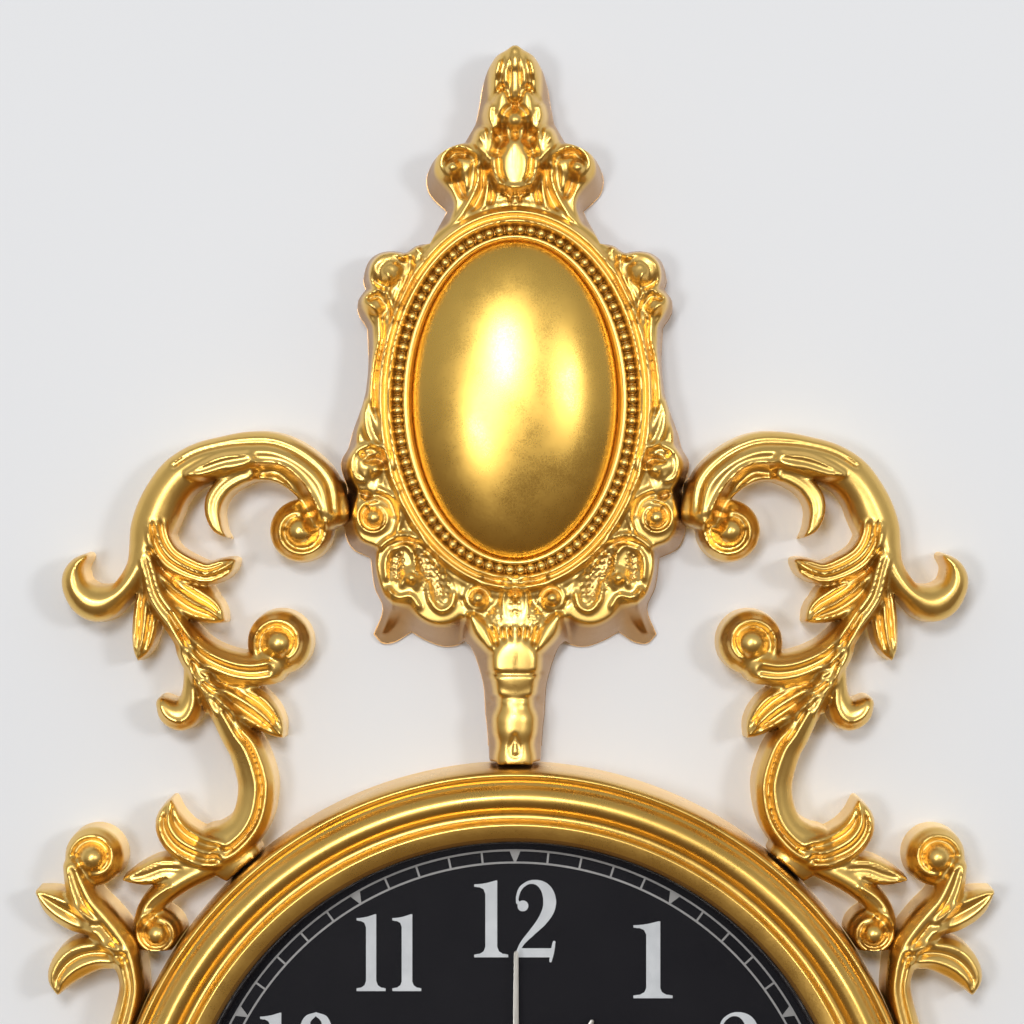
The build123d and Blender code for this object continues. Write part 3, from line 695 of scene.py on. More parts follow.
    # leaves and small scroll beside the ring
    r.form([(134, 146, 10), (126, 141.5, 12), (121, 139, 8.5)], 31, 6)
    leaf(r, [(131, 143, 8), (141, 145, 9), (150, 150, 9), (154.5, 157.5, 7), (153.5, 167, 1.5)], 33, 9, 2.4)
    leaf(r, [(139, 135.5, 3.5), (145.5, 135.5, 4.5), (156.5, 136.5, 6), (165.5, 133.5, 5.5),
             (175, 131.5, 1.5)], 30, 8, 2.4, (0.65, 0, -0.65))
    r.form([(136.5, 137.5, 6), (147.5, 132, 6), (156.5, 126, 6), (163.5, 119.5, 5.5), (167, 112.5, 4.5)],
           31, 9)
    volute(r, 160, 107.5, 12, 34, 75, -0.95)
    r.rib(1.2, 2.6, (154.5, 128.5), (162.5, 123), (167.5, 115))
    r.rib(1.3, -2, (134.5, 133), (145.5, 128), (153.5, 122))


def sculpt_side(r):
    volute(r, 188.5, 142, 13.8, 36, 330, 0.85)
    stem = [(198, 137.5, 5), (195, 128.5, 7), (191.5, 121, 8), (186, 114, 9), (180, 106.5, 9),
            (175, 99, 8), (172, 89.5, 6.5), (172, 78.5, 6.5), (179, 52, 7), (185, 26, 7.5),
            (188.5, 0, 8)]
    r.form(stem, 34, 11)
    for share, rise in ((0.45, 2), (0.05, -2.6), (-0.4, 1.6)):
        r.vein(stem, share, rise, 0.18)
    leaf(r, [(187, 111, 5.5), (196.5, 115.5, 8), (205.5, 120.5, 7), (213.5, 126, 2)], 29, 8, 2.2,
         (0.5, 0, -0.5))
    leaf(r, [(175, 97, 6), (187, 98.5, 8), (197, 95.5, 9), (203.5, 88.5, 6.5), (204.5, 81, 1.5)], 31, 9,
         2.4, (0.6, 0.1, -0.4))


def outside_ring(x, z, h):
    return RING_CLEAR_R - np.hypot(x, z)


def crest_side(x, z, h):
    """Positive inside the crest's flank, where an arm butts against it."""
    return CREST_SIDE_X - CREST_SIDE_LEAN * h - x


def arm_cut(x, z, h):
    return np.maximum(outside_ring(x, z, h), crest_side(x, z, h))


def make_arms():
    relief = Relief((72, 99), (206, 335), ARM_CELL)
    relief.depth = SCROLL_DEPTH
    sculpt_arm(relief)
    relief.soften(1)
    right = relief.solid("arm_upper_right", ARM_DRAFT, cut=arm_cut)
    left = mirrored(right, "arm_upper_left", 0)
    finish_piece(right, "upper_arm_right", "gold")
    finish_piece(left, "upper_arm_left", "gold")
    finish_piece(mirrored(right, "arm_lower_right", 2), "lower_arm_right", "gold")
    finish_piece(mirrored(left, "arm_lower_left", 2), "lower_arm_left", "gold")


def doubled(relief, low, high, axis):
    """The same relief on a grid that covers both sides of an axis (0 for x, 1 for z)."""
    whole = Relief(low, high, relief.cell)
    places, known = ((whole.x, relief.x), (whole.z, relief.z))[axis]
    nearest = np.clip(np.searchsorted(known, np.abs(places)), 0, len(known) - 1)
    whole.edge = np.take(relief.edge, nearest, axis)
    whole.top = np.take(relief.top, nearest, axis)
    return whole


def make_side_scrolls():
    relief = Relief((165, -6), (217, 160), ARM_CELL)
    relief.depth = SCROLL_DEPTH
    sculpt_side(relief)
    relief.soften(1)
    whole = doubled(relief, (165, -160), (217, 160), 1)
    right = whole.solid("scroll_side_right", ARM_DRAFT, cut=outside_ring)
    finish_piece(right, "side_scroll_right", "gold")
    finish_piece(mirrored(right, "scroll_side_left", 0), "side_scroll_left", "gold")


# ---- crest --------------------------------------------------------------------
# Right halves of two outlines, as smooth runs of (x, z) that meet at corners: the
# thin flange, as on the CAD backboard, and the raised face inside it.  The
# casting's wall slopes from one to the other.  The first run is a single point,
# and every other run starts where the one before it ends.
FLANGE = [
    [(0, 504.5)],
    [(4.5, 502.8), (9, 500), (13, 493.5), (15, 487), (16.5, 478), (18.5, 470), (23.5, 461.5)],
    [(30, 459), (36.5, 454.5), (40, 448), (39.5, 441.5), (36.5, 437), (31, 432)],
    [(38.5, 416.5)],
    [(44, 416.3), (49.5, 413)],
    [(55, 413.5), (61.5, 412.5), (66.5, 408.5), (68.8, 401), (67.5, 396)],
    [(71, 391), (71, 385.5), (67, 379)],
    [(66.5, 362), (68.5, 346), (73.5, 332.5), (75.5, 325), (79, 317.5), (75.8, 306)],
    [(78, 292), (74.5, 280), (65.5, 275)],
    [(63.8, 262), (60, 252), (64.2, 240.5)],
    [(60, 236.3), (54, 237), (47, 241.5)],
    [(41, 238), (33, 235), (26.5, 235.3), (22.5, 237.3)],
    [(19, 233), (14.5, 218.5), (13.5, 205), (12.5, 196), (12, 183.5)],
]
FACE = [
    [(0, 504)],
    [(3.5, 502.8), (5, 498.8)],
    [(7.5, 499.4), (9.8, 496.5), (10, 490), (9.8, 485.5)],
    [(11.8, 480), (11.6, 475)],
    [(13.4, 472), (13, 468)],
    [(17.5, 465.5), (20, 460)],
    [(25, 461.6), (31.5, 459.4), (35.6, 454), (35.6, 447.5), (31, 442.5)],
    [(27.8, 438), (27, 432), (31, 421.5), (37.5, 413.5)],
    [(43, 415), (48, 411.5)],
    [(54, 412), (60, 411), (64.5, 406.5), (65, 400), (63.5, 396)],
    [(67.5, 391), (67, 385.5), (63.5, 379)],
    [(63.5, 368), (65.5, 352), (66.5, 341)],
    [(70.5, 333), (70.5, 326)],
    [(74.5, 320), (74.5, 313), (69.5, 305.5)],
    [(72.3, 294), (69, 284), (61, 280.3)],
    [(62.3, 271), (58.5, 259), (54, 255.5)],
    [(46.5, 255.5)],
    [(42.5, 249.5), (36, 246.3), (29, 247), (24, 250)],
    [(20, 247), (13.5, 236.5), (10, 231.8)],
    [(11, 224)],
    [(9.8, 222), (8.4, 214.5)],
    [(7.4, 210), (9.4, 204.5), (9.4, 201.5), (8.2, 197), (8, 190), (8.6, 183.5)],
]
CREST_GROUND = 30.0
CREST_LIP = 2.5
FLANGE_FOOT_Z = 187.5     # the flange stops above the ring
DOME_Z = 346.0
DOME_W = 45.9             # half-width and half-height of the dome
DOME_H = 71.0
DOME_HOLE_W = 45.6        # the same, of the hole for it in the casting
DOME_HOLE_H = 70.7
DOME_SEAT = 30            # heights over the wall: seat, rise over it, foot
DOME_RISE = 17
DOME_FOOT = 26
DOME_FULLNESS = 1.06
OVAL_POINTS = 70


def polygon_distance(x, z, points):
    """Signed distance to a closed outline; minus is inside."""
    p = np.array(points, float)
    best = np.full(x.shape, 1e9)
    inside = np.zeros(x.shape, bool)
    for (ax, az), (bx, bz) in zip(p, np.roll(p, -1, axis=0)):
        dx, dz = bx - ax, bz - az
        t = np.clip(((x - ax) * dx + (z - az) * dz) / (dx * dx + dz * dz + 1e-9), 0, 1)
        best = np.minimum(best, np.hypot(x - ax - t * dx, z - az - t * dz))
        crosses = (az > z) != (bz > z)
        inside ^= crosses & (x < ax + (z - az) * dx / (dz if dz else 1e-9))
    return np.where(inside, -best, best)


def whole_outline(runs):
    """Both halves of a crest outline, as one closed list of (x, z)."""
    right = []
    for before, run in zip(runs, runs[1:]):
        line = smooth_line([(x, z, 1) for x, z in [before[-1], *run]], 4)[:, :2]
        right += [tuple(p) for p in line[:-1]]
    right.append(runs[-1][-1])
    return right + [(-x, z) for x, z in reversed(right) if x > 0]


def crest_ground(r):
    face = polygon_distance(r.X, r.Z, whole_outline(FACE))
    flange = polygon_distance(r.X, r.Z, whole_outline(FLANGE))
    share = np.clip(face / np.maximum(face - flange, 0.5), 0, 1)
    r.top = CREST_GROUND - (CREST_GROUND - CREST_LIP) * share**1.15
    r.edge = flange + 0.2


def oval(half_w, half_h, width):
    """The right half of an oval line round the dome."""
    turn = np.radians(np.linspace(-90, 90, OVAL_POINTS))
    half = np.full(OVAL_POINTS, width)
    line = [half_w * np.cos(turn), DOME_Z + half_h * np.sin(turn), half]
    return np.column_stack(line)


PANEL_PATCHES = ([(53.2, 276, 3.8), (53.2, 268, 4.2)], [(42, 277, 4), (37.5, 269, 7), (33.5, 260, 5.5)])
DROP_PATCH = [(0, 256, 2.6), (0, 251.5, 2.2)]


def crest_pebbles(r):
    for patch in (*PANEL_PATCHES, DROP_PATCH, [(9.5, 249, 3.5)]):
        r.pebbles(patch, 0.55)


def sculpt_crest(r):
    crest_ground(r)
    # finial: three lobes over flutes, then a pair of pointed leaves
    r.form([(0, 500.8, 3.8), (0, 495, 4)], 38, 5)
    r.form([(6.4, 495.8, 2.8), (7.2, 491.5, 3)], 37, 4)
    r.form([(0, 491.5, 11), (0, 485, 11), (0, 477, 10)], 36.5, 5)
    for x in (0, 4.2, 8.4):
        r.bead([(0.75 * x, 498, 1.6), (x, 491, 2.1), (x, 483.5, 1.8)], 1.6)
    for x in (2.1, 6.3):
        r.bead([(0.75 * x, 497, 1.2), (x, 491, 1.5), (x, 483, 1.3)], -2)
    r.bead([(11, 480, 1.3), (8, 482.5, 1.3), (5.2, 485.5, 1.2), (3, 481, 1.3), (0, 477.5, 1.3)], -6)
    r.form([(5.3, 483, 1.2), (5.6, 479.5, 3.2), (5.8, 475, 3.4)], 37.5, 3)
    r.rib(1.2, -4, (0, 478), (0, 474.5))
    r.form([(10.6, 476.5, 1.4), (9.8, 472, 3), (8.8, 467.5, 2)], 37, 3)
    r.rib(0.8, -3, (9.8, 475), (9.2, 468.5))
    # ball over an open cup
    r.rib(1.2, -4, (5.2, 473.5), (2.6, 476), (0, 476.6))
    r.form([(0, 467, 4.5), (0, 462, 3.5)], 36, 3)
    r.bead([(0, 466.3, 2.0), (0, 462.5, 1.4)], -5)
    r.bead([(4.8, 469.5, 1.2), (3.6, 464, 1.2), (1.4, 459.8, 1.1)], 3.5)
    r.ball(0, 470.4, 3.9, 40.5)
    # leaf fans beside the cup
    r.form([(11, 453, 3), (12.5, 459, 5.5), (13.2, 463, 4.5)], 36, 4)
    for x, z in ((18, 460.5), (16.5, 464), (13.8, 466.5), (10.2, 467)):
        r.bead([(11.5, 453.5, 0.5), (x, z, 1.0)], 2.2)
        r.bead([(10.8, 453.5, 0.5), (x - 2, z + 0.6, 0.9)], -2.2)
    r.rib(0.9, -3, (8.5, 466), (7.5, 461), (8.5, 455.5))
    # vase between two slim leaves, and its foot
    r.form([(0, 458.5, 4), (0, 454, 7.4), (0, 448.5, 7.8), (0, 443.5, 5.5)], 38.5, 5, flat_roll)
    r.form([(9.3, 453.5, 1.3), (8.8, 447, 2), (6.4, 441.5, 1.6)], 38, 3)
    r.rib(0.9, -4, (7.2, 453), (6.8, 447.5), (5, 442.5))
    r.bead([(4.6, 458, 0.8), (6, 455.8, 0.9), (9.5, 455.5, 0.9)], -3)
    r.bead([(7, 442.8, 1.2), (3.8, 440.8, 1.3), (0, 440.2, 1.3)], 3.4)
    r.rib(1.1, -5, (6.2, 439.4), (3.4, 438), (0, 437.6))
    # ribs that fan out from the vase to the beaded oval
    for foot, x, z in ((0.2, 1, 424.5), (3.4, 5.5, 424.8), (5.2, 9.5, 426), (6.8, 15.5, 426.5)):
        r.bead([(foot, 437.3, 1.0), (0.6 * foot + 0.4 * x, 431, 1.2), (x, z, 1.3)], 2.6)
    for foot, x, z in ((1.9, 3.2, 424.5), (4.4, 7.4, 425.2), (6.1, 12.5, 426)):
        r.bead([(foot, 437, 0.7), (0.6 * foot + 0.4 * x, 431, 0.9), (x, z, 1.0)], -3)
    # large scroll on each shoulder
    r.form([(26.8, 451.5, 7.8)], 33, 5)
    r.bead([(15.5, 451, 1.6), (18.5, 456.5, 1.8), (25, 459.2, 2.1), (31, 457, 2.2), (33.4, 451.5, 2.2),
            (31.5, 446.5, 2.0), (28.5, 444.8, 1.5)], 5)
    r.bead([(22, 455.3, 1.8), (26.5, 455.8, 2.2), (29.4, 452.8, 1.8)], -5)
    r.bead([(25.8, 444.5, 2.2), (24.5, 440, 2.2), (23, 437, 1.5)], -4)
    r.ball(27.8, 449.4, 3.2, 38)
    r.bead([(19.5, 452.5, 2.0), (21.5, 446.5, 2.0), (21.5, 441, 1.8)], 2.5)
    long_rib = [(16.8, 450.5, 1.4), (16.4, 444.5, 1.4), (19, 437, 1.4), (23.8, 429, 1.4), (29.5, 421.5, 1.4),
                (35, 414, 1.2)]
    r.bead(long_rib, 4)
    r.bead([(x - 2.8, z - 1.2, w) for x, z, w in long_rib], -3)
    r.bead([(12.8, 448.5, 1.3), (12.6, 439.5, 1.3), (14, 432.5, 1.3), (18.5, 427, 1.3), (25, 422.5, 1.2),
            (33, 416, 1.0)], 3.2)
    r.bead([(10.4, 448, 1.0), (10.2, 439, 1.1), (11.5, 431.5, 1.1), (16, 425.5, 1.1), (23, 420.5, 1.0)], -3)
    # oval frame round the dome: a beaded channel between mouldings
    r.form(oval(55, 79.5, 8.5), 34, 3)
    for half_w, half_h, width, rise in ((BEAD_W, BEAD_H, 3.0, -6.5), (56.6, 79.8, 1.1, 3.2),
                                        (58.2, 81.8, 0.9, -2.8), (59.8, 83.8, 1.2, 2.8),
                                        (62.2, 86.6, 1.3, -3.4)):
        r.bead(oval(half_w, half_h, width), rise)
    # corner scroll above the shoulder of the oval
    r.form([(57, 404, 7)], 35, 6)
    r.bead([(49.5, 409.5, 1.4), (55, 411.5, 1.5), (60.8, 410, 1.6), (64.2, 404.5, 1.6), (63.8, 398, 1.5),
            (60, 395, 1.3)], 3.6)
    r.bead([(51, 406.5, 1.0), (56, 408, 1.2), (60.3, 404.5, 1.2), (59.5, 399.5, 1.0)], -3)
    r.bead([(56.8, 402.5, 1.5), (55.6, 398, 1.4), (57, 393.5, 1.0)], 2.6)
    r.bead([(50.5, 409, 1.2), (47.5, 413.5, 1.3), (44.2, 414.5, 1.3), (40.5, 409, 1.2)], 3)
    r.bead([(44.2, 413.5, 1.2), (44, 407, 1.3), (47.5, 397, 1.3), (51.5, 388, 1.1)], 3)
    r.bead([(47, 409, 1.0), (46.8, 404, 1.1), (50, 396, 1.1), (53.5, 389, 0.9)], -2.6)
    for x in (50.5, 53.2, 55.9):
        r.bead([(x, 401, 0.8), (x + 0.6, 395, 0.9), (x + 0.4, 389, 0.7)], 1.8)
    # hooked scroll on the flank, running down in three ribs
    r.form([(62.5, 389.5, 5.5)], 34, 4)
    r.bead([(67.3, 391, 1.3), (62.6, 395, 1.4), (57.3, 393.5, 1.4), (54.8, 388, 1.4), (54.3, 381.5, 1.2)],
           3.2)
    r.bead([(65.5, 391, 1.2), (61, 392, 1.7), (58.2, 388.5, 1.3)], -4.5)
    r.bead([(67.2, 389.8, 1.3), (62.6, 386.6, 1.4), (60.8, 381.5, 1.4), (60.8, 372.5, 1.4),
            (63.3, 363.5, 1.4), (64.4, 352, 1.3), (64.4, 341, 1.2)], 3)
    r.bead([(57.5, 384, 1.2), (57.6, 372, 1.2), (59.8, 361, 1.2), (61.2, 350, 1.1), (61.2, 340, 1.0)], 2)
    r.bead([(59.2, 382, 0.9), (59.2, 372, 1.0), (61.6, 361.5, 1.0), (62.8, 350, 0.9), (62.8, 340, 0.8)],
           -2.6)
    # leaf and open curl above the side volute
    leaf(r, [(60, 326, 3), (63, 331, 4.5), (65, 338, 3.5), (66, 345, 1)], 33, 3, 2.0, (0.6, 0, -0.6))
    r.form([(66, 317, 8)], 33, 6)
    r.bead([(59.5, 325, 1.5), (65.3, 325.8, 1.6), (71.3, 322.5, 1.8), (73, 316.8, 1.8), (71.3, 311.5, 1.6),
            (67.5, 309.5, 1.3)], 3.6)
    r.rib(2.1, -4.5, (67.9, 321.3))
    r.bead([(66.5, 318.5, 1.4), (62, 319.6, 2.4), (57.8, 317.5, 1.4)], -5)
    r.ball(62.4, 314.8, 2.6, 35)
    for x, lean in ((61.6, -1.8), (63.5, 0), (65.4, 1.8)):
        r.bead([(x + lean, 312.5, 0.9), (x, 308, 0.9), (x, 303.5, 0.7)], 2)
    r.bead([(68.5, 304, 1.8), (65.5, 303, 2.4)], -5)
    for x, z, bend in ((57, 322, 3), (55, 311, 3)):
        r.bead([(x + 3, z + 4, 0.9), (x, z, 1.0), (x - bend, z - 6, 0.9)], 2)
    # side volute, with a second rim outside it
    volute(r, 63, 293.5, 9.5, 35, 100, -1.1)
    r.bead([(60.5, 306, 1.3), (53.5, 302, 1.4), (51, 294, 1.4), (53, 286, 1.3)], 3)
    r.rib(1.0, -2.6, (62, 304), (56, 300.5), (53.6, 294))
    # arched panel below, with its pebbled ground
    panel = [(60.4, 280, 1.6), (56.4, 283.4, 1.6), (50.6, 285.6, 1.6), (44, 284.2, 1.6), (35, 276.5, 1.6),
             (28.3, 265.5, 1.6), (24, 258, 1.5)]
    inner = [(57.5, 266, 1.2), (57.8, 274, 1.2), (54.5, 280, 1.2), (49, 281, 1.2), (45, 276, 1.1),
             (44.5, 270, 1.0)]
    r.bead(panel, 3.6)
    r.bead([(x - 1.5, z - 3, 1.3) for x, z, _ in panel[1:]], -3.4)
    r.bead(inner, 3)
    for patch in PANEL_PATCHES:
        r.bead(patch, -2.5)
    r.ball(46.2, 266.5, 2.7, 34)
    r.bead([(50.5, 263, 1.1), (48.8, 269, 1.1), (45, 270.5, 1.1), (42.5, 267, 1.0), (44.5, 262, 1.0)], 2.8)
    r.bead([(56.5, 261, 1.2), (52, 257.8, 1.4), (46.5, 258.5, 1.4), (42.8, 253.5, 1.4)], 2.8)
    r.bead([(39, 264, 1.2), (37.5, 256, 1.4), (33.2, 251.8, 1.5), (28.6, 254, 1.4), (27, 260, 1.2)], 3.2)
    r.bead([(56.2, 262, 1.2), (54.8, 254.5, 1.2), (57.8, 246.5, 1.2), (60, 240.5, 1.0)], 2.6)
    # paired small scrolls and the looped drop between them
    volute(r, 16.5, 257.5, 8, 36, 200, -1.05)
    loop = [(3.4, 244.5, 1.3), (5.4, 252, 1.4), (5, 259, 1.4), (0, 263.5, 1.5)]
    r.form([(0, 257, 6.5), (0, 250, 5.5)], 33, 3)
    r.bead(loop, 3.4)
    r.bead([(0, 258.5, 3.2), (0, 251, 2.2)], -6)
    r.ball(0, 253.5, 2.6, 33)
    r.bead([(0, 266.8, 1.3), (8, 265.5, 1.3), (14, 267.5, 1.2)], -3.5)
    # ribbed skirt with a flared leaf each side, collar and block
    r.form([(0, 244, 13.5), (0, 236, 9.5)], 34, 4)
    r.form([(19, 249, 2), (15.5, 243, 3.6), (11, 236, 2.4)], 35, 3)
    for top_x, foot_x in ((0, 0), (3.8, 3.1), (7.6, 6.2)):
        r.bead([(top_x, 244.5, 1.4), (foot_x, 234.5, 1.1)], 2.4)
    for top_x, foot_x in ((1.9, 1.6), (5.7, 4.7), (10, 7.8)):
        r.bead([(top_x, 244, 1.0), (foot_x, 234.5, 0.9)], -3.2)
    r.band(231.8, 233.2, 12, -5)
    r.form([(0, 229.5, 10.4), (0, 226, 10.2)], 36, 2, flat_roll)
    r.band(223, 224.4, 12, -5)
    r.form([(0, 219.5, 8.9), (0, 217, 8.4)], 35, 2, flat_roll)
    # baluster down to the ring, with a teardrop at its foot
    r.band(212.4, 213.8, 10, -5)
    r.form([(0, 209.5, 7.2), (0, 207, 7)], 35, 4)
    r.rib(1.0, -4, (5, 206.5), (0, 205))
    r.form([(0, 202.5, 9.2), (0, 199, 9)], 36, 5)
    r.form([(0, 196, 8), (0, 191, 7.6), (0, 185, 8.6)], 35, 4)
    r.bead([(0, 197, 0.5), (0.8, 192.5, 1.8), (0, 189, 3.6)], -4)
    r.bead([(0, 196, 0.4), (0, 191.5, 1.6), (0, 189, 2.6)], 4.5)


def dome_hole(x, z, h):
    """Positive where the dome's own piece fills the crest."""
    return DOME_HOLE_W - DOME_HOLE_W * np.hypot(x / DOME_HOLE_W, (z - DOME_Z) / DOME_HOLE_H)


def crest_cut(x, z, h):
    cut = np.maximum(dome_hole(x, z, h), CREST_LIP - h)
    return np.maximum(np.maximum(cut, outside_ring(x, z, h)), -0.5 * CELL - x)


def make_crest():
    relief = Relief((-3, 180), (81, 507), CELL)
    relief.X = np.abs(relief.X)
    relief.depth = CREST_DEPTH
    sculpt_crest(relief)
    relief.soften(2)
    crest_pebbles(relief)
    right = relief.solid("crest_face_right", CREST_DRAFT, cut=crest_cut)
    left = mirrored(right, "crest_face_left", 0)
    finish_piece(right, "crest_casting", "crest_gold")
    finish_piece(left, "crest_casting", "crest_gold")
    make_flange()
    make_beads()
    make_dome()


def make_flange():
    """The thin board behind the casting, which shows as a fine lip round it."""
    bm = bmesh.new()
    outline = [p for p in whole_outline(FLANGE) if p[1] > FLANGE_FOOT_Z]
    prism(bm, outline, BACK, CREST_LIP)
    flange = bmesh_object("crest_flange", bm, smooth=False)
    finish_piece(flange, "crest_backboard", "crest_gold")


def make_beads():
    """Small beads, evenly spaced along the oval channel."""
    fine = np.radians(np.linspace(0, 360, 2881))
    steps = np.hypot(BEAD_W * np.diff(np.cos(fine)), BEAD_H * np.diff(np.sin(fine)))
    run = np.concatenate([[0], np.cumsum(steps)])
    turns = np.interp(np.linspace(0, run[-1], BEAD_COUNT, endpoint=False), run, fine)
    bm = bmesh.new()
    for turn in turns:
        centre = Vector((BEAD_W * math.cos(turn), -BEAD_HEIGHT, DOME_Z + BEAD_H * math.sin(turn))) * MM
        bmesh.ops.create_icosphere(bm, subdivisions=3, radius=BEAD_R * MM,
                                   matrix=Matrix.Translation(centre))
    obj = bmesh_object("crest_beads", bm)
    finish_piece(obj, "crest_casting", "crest_gold")


def make_dome():
    """The smooth oval boss: a low cap with a rounded shoulder."""
    rings, spokes = 60, 160
    verts = []
    loops = []
    for ring in range(1, rings + 1):
        out = math.sin(0.5 * math.pi * ring / rings)
        loops.append((out, DOME_SEAT + DOME_RISE * math.sqrt(max(1 - out * out, 0)) ** DOME_FULLNESS))
    for out, height in [*loops, (1.0, DOME_FOOT)]:
        for k in range(spokes):
            turn = 2 * math.pi * k / spokes
            verts.append((DOME_W * out * math.cos(turn), -height, DOME_Z + DOME_H * out * math.sin(turn)))
    verts += [(0, -DOME_SEAT - DOME_RISE, DOME_Z), (0, -DOME_FOOT, DOME_Z)]
    top, foot = len(verts) - 2, len(verts) - 1
    faces = [(top, k, (k + 1) % spokes) for k in range(spokes)]
    for ring in range(rings):
        a, b = ring * spokes, (ring + 1) * spokes
        faces += [(a + k, b + k, b + (k + 1) % spokes, a + (k + 1) % spokes) for k in range(spokes)]
    last = rings * spokes
    faces += [(last + k, foot, last + (k + 1) % spokes) for k in range(spokes)]
    obj = mesh_object("crest_boss", np.array(verts) * MM, faces)
    finish_piece(obj, "crest_dome", "smooth_gold")


# ---- pendant at the foot ---------------------------------------------------------
def sculpt_pendant(r):
    leaf(r, [(80, -316, 5), (66, -326, 8), (44, -345, 9), (20, -356, 10), (0, -359, 10)], 30, 8)
    volute(r, 58, -343, 11, 34, 40, -0.9)
    leaf(r, [(40, -352, 7.5), (35, -371, 8.5), (19, -387, 7), (0, -395, 7)], 27, 7, 2.2)
    leaf(r, [(0, -352, 8), (0, -370, 13), (0, -386, 9), (0, -402, 3.5)], 36, 8, 2.4,
         (0.75, 0.5, 0.25, 0, -0.25, -0.5, -0.75))
    volute(r, 16, -352, 8, 37, 200, 0.95)
    r.ball(0, -348, 6, 38)


def make_pendant():
    relief = Relief((-6, -408), (90, -306), ARM_CELL)
    sculpt_pendant(relief)
    relief.soften(1)
    whole = doubled(relief, (-90, -408), (90, -306), 0).solid("pendant_casting", ARM_DRAFT)
    finish_piece(whole, "bottom_pendant", "gold")


# ---- dial ---------------------------------------------------------------------
DIAL_H = 20.0             # front of the dial plate
PRINT_T = 0.08            # thickness of the printed marks
TRACK_OUTER = 144.0
TRACK_INNER = 138.5
TRACK_LINE = 0.9
NUMERAL_R = 113.2
NUMERAL_CELL = 0.25
SPACING = 3.0             # between two digits
DIGIT_H = 34.6
DIGIT_MARGIN = 3.5        # of the grid round a numeral, above and below
PRINT_STEP = 0.04         # height of a grid cell of the printed marks
WEDGE = (0.3, 2.6)        # half-widths of an hour's wedge, at its two ends
BAR_DROP = 0.01           # bars lie this much below the circles' faces

